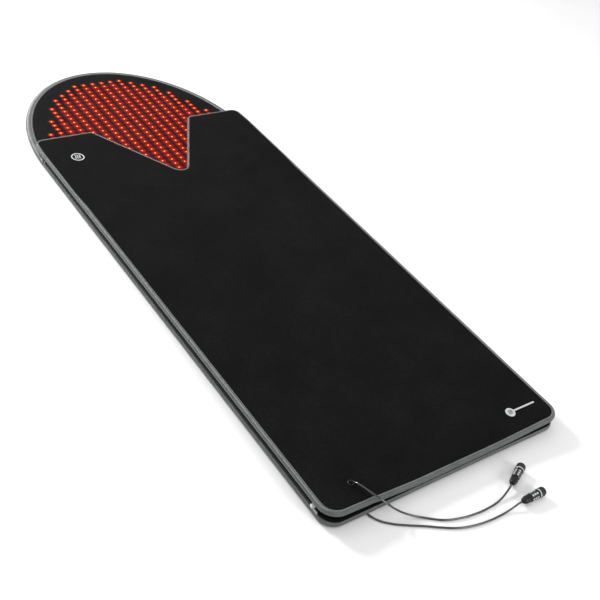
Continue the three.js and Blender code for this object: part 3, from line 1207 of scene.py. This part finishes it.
    def build_binding(self) -> bpy.types.Object:
        """Sweeps the folded tape round the edge, with ribs and stitches on its UV map."""
        outer = self.outline.points(0.0, self.tape_spacing)
        inner = self.outline.points(self.tape_inset, self.tape_spacing)
        turns = [self.turn_at(point.y) / self.tape_inset for point in outer]
        profile = self.binding_profile()
        bm = bmesh.new()
        travel, place = 0.0, []
        for index, point in enumerate(outer):
            place.append(travel)
            travel += (outer[(index + 1) % len(outer)] - point).length
        along = bm.verts.layers.float.new("along")
        across = bm.verts.layers.float.new("across")
        rings, reached, previous = [], 0.0, profile[0]
        for inset, height in profile:
            reached += math.hypot(
                (inset - previous[0]) * self.turn, (height - previous[1]) * self.edge_half
            )
            previous = (inset, height)
            ring = []
            for index, (a, b) in enumerate(zip(outer, inner)):
                puff = 1.0 + self.puff.at(a.x, a.y)
                spot = a.lerp(b, inset * turns[index])
                bend = self.lift(spot.x, spot.y)
                spot.z = self.middle + height * self.edge_half * puff + bend
                ring.append(spot)
            verts, edges = closed_ring(bm, ring)
            for vert, distance in zip(verts, place):
                vert[along], vert[across] = distance, reached
            rings.append(edges)
        for one, other in zip(rings, rings[1:] + rings[:1]):
            bmesh.ops.bridge_loops(bm, edges=[*one, *other])
        bmesh.ops.recalc_face_normals(bm, faces=bm.faces)
        chart = bm.loops.layers.uv.new("tape")
        for face in bm.faces:
            spans = max(v[along] for v in face.verts) - min(v[along] for v in face.verts)
            for loop in face.loops:
                distance = loop.vert[along]
                if spans > travel / 2 and distance < travel / 2:
                    distance += travel
                loop[chart].uv = (distance, loop.vert[across])
        piece = finished(f"{self.body}_edge_tape", bm, BINDING_TAPE)
        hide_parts(f"{self.body}_edge_binding")
        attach(piece, self.body)
        return piece

    def zip_run(self, inset: float) -> list[Vector]:
        """Draws the way that the black facing of painted shade takes: down one side, round the
        foot and up.

        Args:
            inset: How far it's moved inwards.

        Returns:
            Its points in order.
        """
        rest = self.outline.points(0.0, self.tape_spacing)
        kept = [p.y < self.facing_top and (abs(p.x) > 0.3 or p.y < -0.9) for p in rest]
        first = next(i for i, keep in enumerate(kept) if keep and not kept[i - 1])
        points = self.outline.points(inset, self.tape_spacing)
        ordered = [(first + k) % len(points) for k in range(len(points))]
        return [points[i] for i in ordered if kept[i]]

    def build_shade_facing(self) -> None:
        """Makes the black facing, sewn flat over the edge tape on the inner face: painted shade
        that darkens the gap between the panels.
        """
        side = float(self.lining_side.value)
        bm = bmesh.new()
        chains = []
        for inset in self.facing_insets:
            verts = []
            for point in self.zip_run(inset):
                wander = 1.0 + self.wander.at(point.x, point.y)
                height = self.edge_half * self.facing_height * wander
                point.z = self.middle + side * height + self.lift(point.x, point.y)
                verts.append(bm.verts.new(point))
            chains.append([bm.edges.new(pair) for pair in zip(verts, verts[1:])])
        for one, other in zip(chains, chains[1:]):
            bmesh.ops.bridge_loops(bm, edges=[*one, *other])
        made = bmesh.ops.extrude_face_region(bm, geom=list(bm.faces), use_keep_orig=True)
        upper = [v for v in made["geom"] if isinstance(v, bmesh.types.BMVert)]
        bmesh.ops.translate(bm, vec=(0.0, 0.0, side * self.facing_thickness), verts=upper)
        bmesh.ops.recalc_face_normals(bm, faces=bm.faces)
        piece = finished(f"{self.body}_gap_shade_facing", bm, GAP_SHADE_TAPE)
        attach(piece, self.body)

    def build(self) -> None:
        """Makes the whole panel."""
        self.build_body()
        self.build_lining()
        self.build_lamps()
        self.build_binding()
        self.build_shade_facing()


@dataclass
class Mat(Panel):
    """The lower panel, whose foot edge rises to meet the cover."""

    rise: float = 0.0018
    rise_reach: float = 0.07
    rise_middle: float = 0.02
    rise_half: float = 0.30
    rise_blend: float = 0.22

    def lift(self, x: float, y: float) -> float:
        """Lets the middle of the foot edge rise to the cover, see Panel.lift."""
        near = ease(1.0 - (y + HALF_LENGTH) / self.rise_reach)
        middle = ease((self.rise_half - abs(x - self.rise_middle)) / self.rise_blend)
        return near * self.rise * middle


@dataclass(frozen=True)
class Fold:
    """A soft fold in a panel's face: a low ridge that fades out at both ends."""

    x: float
    y: float
    heading: float
    length: float
    width: float
    height: float

    def rise(self, x: float, y: float) -> float:
        """How high the fold stands at a place.

        Args:
            x: Place across the panel.
            y: Place along the panel.

        Returns:
            The height in metres.
        """
        turn = math.radians(self.heading)
        along = (x - self.x) * math.cos(turn) + (y - self.y) * math.sin(turn)
        aside = (y - self.y) * math.cos(turn) - (x - self.x) * math.sin(turn)
        return self.height * math.exp(-((along / self.length) ** 2) - (aside / self.width) ** 2)


@dataclass
class Cover(Panel):
    """The upper panel, whose foot edge sags in the middle and lifts at the left corner."""

    swells: tuple[Swell, ...] = (Swell(0.0011, 0.30, 7.0), Swell(0.0003, 0.07, 2.0))
    corner_reach: float = 0.062
    corner_lift: float = 0.0065
    left_from: float = -0.22
    left_blend: float = 0.12
    right_lift: float = 0.001
    right_from: float = 0.25
    right_blend: float = 0.1
    sag: float = 0.0085
    sag_reach: float = 0.10
    sag_span: tuple[float, float] = (-0.27, 0.36)
    sag_blend: tuple[float, float] = (0.17, 0.24)
    hump: float = 0.0022
    hump_x: float = -0.255
    hump_width: float = 0.014
    folds: tuple[Fold, ...] = (
        Fold(0.21, 0.33, 28.0, 0.075, 0.016, 0.0034),
        Fold(0.17, 0.24, 20.0, 0.090, 0.018, 0.0031),
        Fold(0.29, 0.43, 38.0, 0.055, 0.016, 0.0027),
        Fold(-0.17, 0.27, -24.0, 0.080, 0.018, 0.0024),
        Fold(-0.10, 0.10, -12.0, 0.110, 0.024, 0.0021),
        Fold(-0.20, -0.86, 52.0, 0.060, 0.020, 0.0026),
    )

    def lift(self, x: float, y: float) -> float:
        """Bends the foot edge, see Panel.lift."""
        corner = ease(1.0 - (y + HALF_LENGTH) / self.corner_reach)
        edge = ease(1.0 - (y + HALF_LENGTH) / self.sag_reach)
        left = ease((self.left_from - x) / self.left_blend)
        right = ease((x - self.right_from) / self.right_blend)
        (start, end), (opening, closing) = self.sag_span, self.sag_blend
        middle = ease((x - start) / opening) * ease((end - x) / closing)
        hump = math.exp(-(((x - self.hump_x) / self.hump_width) ** 2)) * self.hump
        raised = self.corner_lift * left + hump + self.right_lift * right
        return corner * raised - edge * self.sag * middle

    def wave(self, x: float, y: float) -> float:
        """Adds the soft folds to the filling's waves, see Panel.wave."""
        return super().wave(x, y) + sum(fold.rise(x, y) for fold in self.folds)


# ------------------------------------------------------------------ zips


@dataclass
class Zip:
    """One side's zip: two tapes, two rows of teeth, slider, puller and end pieces."""

    side: str
    pitch: float = 0.003
    tooth_share: float = 0.56
    tooth_rounding: float = 0.00045
    tape_cuts: int = 120
    ripple_size: float = 0.0004
    ripple_length: float = 0.08
    hinge_x: float = 0.37965
    hinge_thickness: float = 0.0004
    hinge_shorter: float = 0.034
    hinge_cuts: int = 16
    hinge_reach: float = 0.0035
    pivot_z: float = 0.025

    def node(self, part: str) -> str:
        """The CAD node of one of the zip's parts."""
        return f"zip_{self.side}_{part}"

    def ribbon(self, part: str, body: str) -> bpy.types.Object:
        """Makes a tape: a thin strip of cloth on edge that wanders a little.

        Args:
            part: Which tape it is.
            body: The body that it rides on.

        Returns:
            The tape.
        """
        low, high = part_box(self.node(part))
        bm = bmesh.new()
        bmesh.ops.create_cube(bm, size=1.0)
        bmesh.ops.scale(bm, vec=(high - low) * 0.999, verts=bm.verts)
        bmesh.ops.translate(bm, vec=(low + high) / 2, verts=bm.verts)
        cuts = self.tape_cuts
        places = (low.y + (high.y - low.y) * step / cuts for step in range(1, cuts))
        slice_at(bm, places, Vector((0.0, 1.0, 0.0)))
        for vert in bm.verts:
            vert.co.x += self.ripple_size * ripple(0.0, vert.co.y, self.ripple_length, 4.0)
        piece = finished(self.node(part) + "_cloth", bm, ZIP_TAPE, smooth=False)
        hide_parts(self.node(part))
        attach(piece, body)
        return piece

    def teeth(self, part: str, body: str) -> bpy.types.Object:
        """Makes a row of teeth, each a rounded loop of the coil.

        Args:
            part: Which row it is.
            body: The body that it rides on.

        Returns:
            The row.
        """
        low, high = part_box(self.node(part))
        bm = bmesh.new()
        bmesh.ops.create_cube(bm, size=1.0)
        size = Vector((high.x - low.x, self.pitch * self.tooth_share, high.z - low.z))
        bmesh.ops.scale(bm, vec=size, verts=bm.verts)
        bmesh.ops.bevel(
            bm,
            geom=list(bm.edges),
            offset=self.tooth_rounding,
            offset_type="OFFSET",
            segments=1,
            profile=0.5,
            affect="EDGES",
            clamp_overlap=True,
            material=-1,
        )
        count = int((high.y - low.y) / self.pitch)
        middle = (low + high) / 2
        start = middle.y - (count - 1) * self.pitch / 2
        places = [
            Matrix.Translation((middle.x, start + index * self.pitch, middle.z))
            for index in range(count)
        ]
        piece = finished(
            self.node(part) + "_teeth", scatter(unit_mesh(bm), places), ZIP_TEETH, smooth=False
        )
        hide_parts(self.node(part))
        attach(piece, body)
        return piece

    def hard_part(self, part: str, body: str, finish: Finish, width: float) -> None:
        """Makes a small moulded or cast part from its CAD node.

        Args:
            part: Which part it is.
            body: The body that it rides on.
            finish: Its finish.
            width: How wide its edges are rounded, in metres.
        """
        piece = softened(self.node(part), self.node(part) + "_piece", width, finish)
        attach(piece, body)

    def hinge_cloth(self) -> bpy.types.Object:
        """Makes the cloth strip that joins the closed zip's two tapes, cut into bands up its
        height.
        """
        low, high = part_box(self.node("base_tape"))
        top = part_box(self.node("cover_tape"))[1].z
        bm = bmesh.new()
        bmesh.ops.create_cube(bm, size=1.0)
        length = high.y - low.y - self.hinge_shorter
        size = Vector((self.hinge_thickness, length, top - low.z))
        bmesh.ops.scale(bm, vec=size, verts=bm.verts)
        centre = Vector((self.hinge_x, (low.y + high.y) / 2, (top + low.z) / 2))
        bmesh.ops.translate(bm, vec=centre, verts=bm.verts)
        cuts = self.hinge_cuts
        places = (low.z + size.z * step / cuts for step in range(1, cuts))
        slice_at(bm, places, Vector((0.0, 0.0, 1.0)))
        piece = finished(self.node("hinge_cloth"), bm, ZIP_TAPE, smooth=False)
        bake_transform(piece)
        return piece

    def build(self) -> None:
        """Makes the whole zip."""
        self.ribbon("base_tape", "base")
        self.ribbon("cover_tape", "cover")
        self.teeth("base_coil", "base")
        self.teeth("cover_coil", "cover")
        self.hard_part("box", "base", ACETAL, 0.5 * MM)
        self.hard_part("base_stop", "base", NICKEL, 0.3 * MM)
        self.hard_part("cover_pin", "cover", NICKEL, 0.2 * MM)
        self.hard_part("cover_stop", "cover", NICKEL, 0.3 * MM)
        self.hard_part("slider", f"{self.side}_slider", SLIDER_ENAMEL, 0.25 * MM)
        self.hard_part("puller", f"{self.side}_puller", NICKEL, 0.25 * MM)


# ------------------------------------------------------------------ leads and plugs


@dataclass
class Plug:
    """A round in-line plug, turned about its axis and then laid where it belongs."""

    panel: str
    place: tuple[float, float, float]
    heading: float
    sides: int = 12
    boot_rounding: float = 0.35 * MM
    pad_margin: float = 0.45 * MM
    pad_sink: float = 0.4 * MM
    knurl_margin: float = 0.3 * MM
    knurl_rise: float = 0.35 * MM
    pin_circle: float = 3.6 * MM
    pin_height: float = 59.6 * MM
    pin_radii: tuple[float, float] = (1.1 * MM, 0.9 * MM)
    pin_length: float = 3.2 * MM

    def lay(self, bm: bmesh.types.BMesh) -> None:
        """Turns a piece made along +Z to the plug's place and heading."""
        turn = Matrix.Rotation(math.radians(self.heading), 4, "Z")
        tip = Matrix.Rotation(math.radians(90), 4, "Y")
        bm.transform(Matrix.Translation(self.place) @ turn @ tip)

    def piece(
        self, part: str, bm: bmesh.types.BMesh, body: str, slot: str, *finishes: Finish
    ) -> bpy.types.Object:
        """Puts one part of the plug in its place.

        Args:
            part: Which part it is.
            bm: Its mesh, made along +Z.
            body: The body that it rides on.
            slot: Not used.
            *finishes: The finish of each material number.

        Returns:
            The part.
        """
        self.lay(bm)
        piece = finished(f"{self.panel}_plug_{part}_piece", bm, *finishes, smooth=False)
        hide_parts(f"{self.panel}_plug_{part}")
        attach(piece, body)
        return piece

    def boot(self) -> bpy.types.Object:
        """Makes the cable boot: a faceted dome with a neck on the lead."""
        bm = turned(
            [
                (0, 4), (2.9, 4), (2.9, 0), (4.6, 0), (5.2, 0.6), (7.4, 3.1), (8.6, 5.6),
                (9.4, 8.8), (9.8, 12), (10, 15), (10, 22.6), (9.7, 24), (0, 24),
            ],
            12,
        )
        soft_edges(bm, self.boot_rounding, 1)
        return self.piece("boot", bm, self.panel, "rubber", BOOT_RUBBER)

    def shell(self) -> bpy.types.Object:
        """Makes the grip shell, with three rows of flat pads sunk round it, light grey with
        painted highlight.
        """
        rows = [(27.2, 33.4), (34.6, 40.8), (42.0, 48.2)]
        profile = [(0, 24.3), (10.2, 24.3), (10.9, 25.6), (10.9, 27.2)]
        for low, high in rows:
            profile += [(10.9, high), (10.9, high + 1.2)] if high < 48 else [(10.9, high)]
        profile += [(10.3, 50), (8.7, 50), (8.7, 53), (0, 53)]
        bm = turned(profile, self.sides)
        pads = []
        for face in bm.faces:
            centre = face.calc_center_median()
            turn = math.degrees(math.atan2(centre.y, centre.x)) % 60.0
            is_pad = any(low < centre.z / MM < high for low, high in rows)
            if is_pad and turn < 30.0 and abs(face.normal.z) < 0.1:
                pads.append(face)
        bmesh.ops.inset_individual(
            bm, faces=pads, thickness=self.pad_margin, depth=-self.pad_sink,
            use_even_offset=True,
        )
        for face in pads:
            # The pads take the light grey of painted highlight.
            face.material_index = 1
        return self.piece("shell", bm, self.panel, "plastic", PLUG_ABS, PAD_HIGHLIGHT_ABS)

    def ring(self) -> bpy.types.Object:
        """Makes the coupling ring: knurled, with one pale band of painted highlight."""
        bm = turned(
            [
                (9.2, 50.3), (11.2, 50.3), (11.6, 51.3), (11.6, 53.0), (11.2, 53.4),
                (11.2, 56.6), (11.6, 57.0), (11.6, 69.8), (10.9, 72), (9.4, 72), (9.2, 71.8),
            ],
            36,
            closed=True,
        )
        knurls = []
        for face in bm.faces:
            centre = face.calc_center_median()
            radius = math.hypot(centre.x, centre.y)
            if 53.6 * MM < centre.z < 56.4 * MM and radius > 11 * MM:
                # The band takes the same light grey: painted highlight.
                face.material_index = 1
            step = round(math.degrees(math.atan2(centre.y, centre.x)) / 10.0 - 0.5) % 2
            if 58 * MM < centre.z < 69 * MM and radius > 11.3 * MM and step:
                knurls.append(face)
        bmesh.ops.inset_individual(
            bm, faces=knurls, thickness=self.knurl_margin, depth=self.knurl_rise,
            use_even_offset=True,
        )
        return self.piece("ring", bm, f"{self.panel}_ring", "plastic", PLUG_ABS, PAD_HIGHLIGHT_ABS)

    def insert(self) -> bpy.types.Object:
        """Makes the contact carrier: a pale cup with three contact pins in its floor."""
        bm = turned(
            [
                (0, 53.3), (8.9, 53.3), (8.9, 65.4), (8.5, 66), (7.5, 66), (7.2, 65.6),
                (7.2, 58), (0, 58),
            ],
            32,
        )
        for index in range(3):
            angle = math.tau * index / 3
            across, up = self.pin_circle * math.cos(angle), self.pin_circle * math.sin(angle)
            pin = bmesh.ops.create_cone(
                bm, cap_ends=True, segments=10, radius1=self.pin_radii[0],
                radius2=self.pin_radii[1], depth=self.pin_length,
                matrix=Matrix.Translation((across, up, self.pin_height)),
            )
            for vert in pin["verts"]:
                for face in vert.link_faces:
                    face.material_index = 1
        return self.piece("insert", bm, self.panel, "insert", CARRIER_NYLON, NICKEL)

    def build(self) -> list[bpy.types.Object]:
        """Makes the whole plug."""
        return [self.boot(), self.shell(), self.ring(), self.insert()]


@dataclass
class Lead:
    """A thin round lead that lies along its route to its plug."""

    panel: str
    exit: tuple[float, float, float]
    length: float
    route: list[tuple[float, float, float]]
    plug: Plug
    diameter: float = 0.005

    def build(self) -> None:
        """Lays the lead and makes its plug."""
        curve = bpy.data.curves.new(f"{self.panel}_lead_flex", "CURVE")
        curve.dimensions = "3D"
        curve.bevel_depth = self.diameter / 2
        curve.bevel_resolution = 4
        curve.resolution_u = 10
        curve.use_fill_caps = True
        spline = curve.splines.new("BEZIER")
        spline.bezier_points.add(len(self.route) - 1)
        for knot, point in zip(spline.bezier_points, self.route):
            knot.co = [value * MM for value in point]
            knot.handle_left_type = knot.handle_right_type = "AUTO"
        flex = bpy.data.objects.new(curve.name, curve)
        curve.materials.append(LEAD_PVC.material())
        bpy.context.scene.collection.objects.link(flex)
        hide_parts(f"{self.panel}_lead")
        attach(flex, self.panel)
        self.plug.build()
        log.info("%s: %.3f m of lead", flex.name, self.length)


COVER_LEAD = Lead(
    "cover",
    (-0.276, -0.960, 0.0533),
    0.50,
    [
        (-276, -960, 46.6), (-276, -960.3, 53), (-276, -970, 64), (-274, -986, 70.5),
        (-264, -1012, 70), (-240, -1041, 55), (-211, -1058, 30), (-177, -1075, 11),
        (-145, -1093, 3.4), (-109, -1117, 2.8), (-70, -1131, 2.7), (-25, -1139, 2.7),
        (20, -1140.5, 2.7), (56, -1137, 3.4), (84, -1129.5, 7.5), (103, -1122.5, 11.3),
        (116, -1116.5, 12.3),
    ],
    Plug("cover", (0.114, -1.1175, 0.0123), 25.5),
)
BASE_LEAD = Lead(
    "base",
    (-0.262, -0.978, 0.0028),
    0.46,
    [
        (-262, -978.3, 2.8), (-262, -1000, 2.8), (-261, -1024, 2.8), (-250, -1048, 2.7),
        (-226, -1071, 2.7), (-195, -1091, 2.7), (-158, -1112, 2.7), (-126, -1132, 2.7),
        (-90, -1151, 2.7), (-55, -1162, 2.7), (-15, -1168.5, 2.7), (27, -1170.5, 2.7),
        (52, -1170.2, 3.8), (74, -1169.6, 8), (90, -1169.1, 11.6), (102.5, -1169, 12.3),
    ],
    Plug("base", (0.100, -1.169, 0.0123), 0.0),
)


# ------------------------------------------------------------------ trim


@dataclass
class Trim:
    """The small things on the panels: eyelet, gland and the two plain marks.

    The width, swing and pitch of the heat waves are shares of their length.
    """

    cover: Cover
    gland_rounding: float = 0.8 * MM
    shoulder_mark: tuple[float, float] = (-0.286, 0.470)
    ring_radii: tuple[float, float] = (0.0205, 0.0170)
    ring_height: float = 0.0007
    foot_mark: tuple[float, float] = (0.249, -0.958)
    disc_radius: float = 0.0138
    disc_height: float = 0.0008
    disc_taper: float = 0.97
    foot_waves: float = 0.0135
    wave_steps: int = 14
    wave_width: float = 0.075
    wave_swing: float = 0.09
    wave_pitch: float = 0.33
    wave_height: float = 0.35 * MM
    wave_proud: float = 0.75 * MM
    bar_place: tuple[float, float, float] = (0.297, -0.958, 0.0504)
    bar: tuple[float, float, float] = (0.078, 0.0046, 0.0010)
    bar_rounding: float = 0.002

    def eyelet(self) -> None:
        """Makes the rounded eyelet that the cover's lead comes through."""
        low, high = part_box("cover_lead_eyelet")
        centre = (low + high) / 2
        bm = turned(
            [
                (4.2, 0.2), (8.5, 0), (8.4, 1.2), (7.9, 2.1), (7.0, 2.8), (6.0, 3.0),
                (5.0, 2.8), (4.4, 2.1), (4.2, 1.2),
            ],
            36,
            closed=True,
        )
        bmesh.ops.translate(bm, vec=(centre.x, centre.y, low.z), verts=bm.verts)
        piece = finished("cover_eyelet_ring", bm, BOOT_RUBBER)
        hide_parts("cover_lead_eyelet")
        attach(piece, "cover")

    def gland(self) -> None:
        """Makes the gland that the mat's lead comes out of."""
        piece = softened("base_lead_gland", "base_gland_block", self.gland_rounding, BOOT_RUBBER)
        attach(piece, "base")

    def on_cloth(self, bm: bmesh.types.BMesh, proud: float) -> None:
        """Lays a flat mark on the cover's face.

        Args:
            bm: The mark, whose lower face is at height zero.
            proud: How far the mark stands off the cloth.
        """
        for vert in bm.verts:
            vert.co.z += self.cover.top(vert.co.x, vert.co.y) + proud

    def disc(
        self, centre: tuple[float, float], radius: float, height: float
    ) -> bmesh.types.BMesh:
        """Makes a thin round print with a soft edge.

        Args:
            centre: Its middle.
            radius: Its radius.
            height: Its thickness.

        Returns:
            The print, on the cover.
        """
        bm = bmesh.new()
        bmesh.ops.create_cone(
            bm, cap_ends=True, segments=48, radius1=radius, radius2=radius * self.disc_taper,
            depth=height,
        )
        bmesh.ops.translate(bm, vec=(*centre, height / 2), verts=bm.verts)
        self.on_cloth(bm, 0.0)
        return bm

    def ring(
        self, centre: tuple[float, float], radius: float, hole: float
    ) -> bmesh.types.BMesh:
        """Makes a thin ring of print.

        Args:
            centre: Its middle.
            radius: Its outer radius.
            hole: Its inner radius.

        Returns:
            The ring, on the cover.
        """
        height = self.ring_height
        section = [(hole, 0.0), (radius, 0.0), (radius, height), (hole, height)]
        bm = turned([(r / MM, z / MM) for r, z in section], 48, closed=True)
        bmesh.ops.translate(bm, vec=(*centre, 0.0), verts=bm.verts)
        self.on_cloth(bm, 0.0)
        return bm

    def heat_waves(self, centre: tuple[float, float], size: float) -> bmesh.types.BMesh:
        """Makes three wavy lines side by side.

        Args:
            centre: The middle of the three.
            size: How long each one is.

        Returns:
            The lines, standing just proud of the cloth.
        """
        bm = bmesh.new()
        for line in (-1, 0, 1):
            flat = bmesh.ops.create_grid(
                bm, x_segments=1, y_segments=self.wave_steps, size=1.0,
                matrix=Matrix.Diagonal((size * self.wave_width, size / 2, 1.0, 1.0)),
            )
            faces = list({f for v in flat["verts"] for f in v.link_faces})
            raised = bmesh.ops.extrude_face_region(bm, geom=faces, use_keep_orig=True)
            upper = [v for v in raised["geom"] if isinstance(v, bmesh.types.BMVert)]
            bmesh.ops.translate(bm, vec=(0, 0, self.wave_height), verts=upper)
            for vert in [*flat["verts"], *upper]:
                swing = math.sin(vert.co.y / size * math.tau) * size * self.wave_swing
                vert.co.x += centre[0] + line * size * self.wave_pitch + swing
                vert.co.y += centre[1]
        bmesh.ops.recalc_face_normals(bm, faces=bm.faces)
        self.on_cloth(bm, self.wave_proud)
        return bm

    def marks(self) -> None:
        """Makes the shoulder's ring and the foot's disc and bar, with their heat waves."""
        ring = self.ring(self.shoulder_mark, *self.ring_radii)
        shoulder = finished("cover_shoulder_ring", ring, PRINT_SILICONE, smooth=False)
        lines = self.heat_waves(self.shoulder_mark, self.ring_radii[0])
        waves = finished("cover_shoulder_waves", lines, PRINT_SILICONE, smooth=False)
        foot = self.disc(self.foot_mark, self.disc_radius, self.disc_height)
        bar = bmesh.ops.create_cube(
            foot,
            size=1.0,
            matrix=Matrix.Translation(self.bar_place) @ Matrix.Diagonal((*self.bar, 1.0)),
        )
        upright = [
            e
            for v in bar["verts"]
            for e in v.link_edges
            if abs((e.verts[0].co - e.verts[1].co).normalized().z) > 0.9
        ]
        bmesh.ops.bevel(
            foot, geom=list(set(upright)), offset=self.bar_rounding, offset_type="OFFSET",
            segments=6, profile=0.5, affect="EDGES", clamp_overlap=True, material=-1,
        )
        foot_piece = finished("cover_foot_mark", foot, PRINT_SILICONE, smooth=False)
        lines = self.heat_waves(self.foot_mark, self.foot_waves)
        foot_waves = finished("cover_foot_waves", lines, PRINT_DARK, smooth=False)
        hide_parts("cover_shoulder_badge")
        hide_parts("cover_foot_badge")
        for piece in (shoulder, waves, foot_piece, foot_waves):
            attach(piece, "cover")

    def build(self) -> None:
        """Makes all the trim."""
        self.eyelet()
        self.gland()
        self.marks()


def dress_inner_nodes() -> None:
    """Gives the pieces inside the panels their finishes."""
    finishes = {
        "led_board": CIRCUIT,
        "junction_block": ACETAL,
        "bus_cable": LEAD_PVC,
    }
    for name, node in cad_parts.items():
        for part, finish in finishes.items():
            if part in name:
                node.data.materials.clear()
                node.data.materials.append(finish.material())


# ------------------------------------------------------------------ studio


@dataclass(frozen=True)
class Lamp:
    """A soft studio light."""

    name: str
    place: tuple[float, float, float]
    aim: tuple[float, float, float]
    width: float
    power: float

    def build(self) -> None:
        """Hangs the light and turns it to its aim."""
        light = bpy.data.lights.new(self.name, "AREA")
        light.shape = "SQUARE"
        light.size = self.width
        light.energy = self.power
        holder = bpy.data.objects.new(self.name, light)
        holder.location = self.place
        holder.rotation_mode = "QUATERNION"
        way = Vector(self.aim) - Vector(self.place)
        holder.rotation_quaternion = way.to_track_quat("-Z", "Y")
        bpy.context.scene.collection.objects.link(holder)


@dataclass(frozen=True)
class Studio:
    """Camera, pale floor and soft light."""

    camera_place: tuple[float, float, float] = (-1.4358, -1.8899, 1.7005)
    camera_aim: tuple[float, float, float] = (0.0246, -0.3280, 0.0)
    lens: float = 57.72
    sensor: float = 36.0
    roll: float = 13.61
    shift: tuple[float, float] = (0.0022, -0.0006)
    floor_size: float = 30.0
    floor_gap: float = 0.0002
    sky: float = 0.72
    lamps: tuple[Lamp, ...] = (
        Lamp("overhead_softbox", (0.3, 0.0, 4.0), (0.3, 0.0, 0.0), 6.0, 78.0),
        Lamp("key", (-1.5, 3.6, 2.4), (0.1, -0.7, 0.0), 0.9, 270.0),
        Lamp("foot_fill", (0.9, -4.2, 1.6), (0.0, -0.6, 0.0), 1.6, 62.0),
    )

    def camera(self) -> None:
        """Sets up the camera."""
        lens = bpy.data.cameras.new("camera")
        lens.lens = self.lens
        lens.sensor_width = self.sensor
        lens.shift_x, lens.shift_y = self.shift
        lens.clip_end = 100.0
        camera = bpy.data.objects.new("camera", lens)
        way = Vector(self.camera_aim) - Vector(self.camera_place)
        level = way.to_track_quat("-Z", "Y").to_matrix()
        roll = Matrix.Rotation(math.radians(self.roll), 3, "Z")
        camera.location = self.camera_place
        camera.rotation_mode = "QUATERNION"
        camera.rotation_quaternion = (level @ roll).to_quaternion()
        bpy.context.scene.collection.objects.link(camera)
        bpy.context.scene.camera = camera

    def floor(self) -> None:
        """Lays the paper floor just under the mat."""
        bm = bmesh.new()
        bmesh.ops.create_grid(bm, x_segments=2, y_segments=2, size=self.floor_size / 2)
        bmesh.ops.translate(bm, vec=(0.0, 0.0, -self.floor_gap), verts=bm.verts)
        finished("floor", bm, PAPER, smooth=False)

    def light(self) -> None:
        """Lights the floor evenly, with a soft key from the head's side."""
        world = bpy.data.worlds.new("soft_sky")
        world.use_nodes = True
        world.node_tree.nodes.clear()
        sky = add_node(
            world.node_tree,
            "ShaderNodeBackground",
            {"Color": (1.0, 1.0, 1.0, 1.0), "Strength": self.sky},
        )
        add_node(world.node_tree, "ShaderNodeOutputWorld", {"Surface": sky.outputs[0]})
        bpy.context.scene.world = world
        for lamp in self.lamps:
            lamp.build()
        bpy.context.scene.view_settings.view_transform = "Standard"

    def build(self) -> None:
        """Makes the whole studio."""
        self.camera()
        self.floor()
        self.light()


def main() -> None:
    """Builds the blanket and its studio."""
    logging.basicConfig(level=logging.INFO, format="%(message)s")
    Studio().build()
    COVER_LEAD.build()
    BASE_LEAD.build()
    mat = Mat("base", MatOutline(), 0.010, Face.UP, neck_turn=0.022, neck_start=0.52)
    cover = Cover("cover", CoverOutline(), 0.040, Face.DOWN, neck_turn=0.0075)
    for panel in (mat, cover):
        panel.build()
    Zip("left").build()
    right = Zip("right")
    right.build()
    right.hinge_cloth()
    Trim(cover).build()
    dress_inner_nodes()


if __name__ == "__main__":
    main()
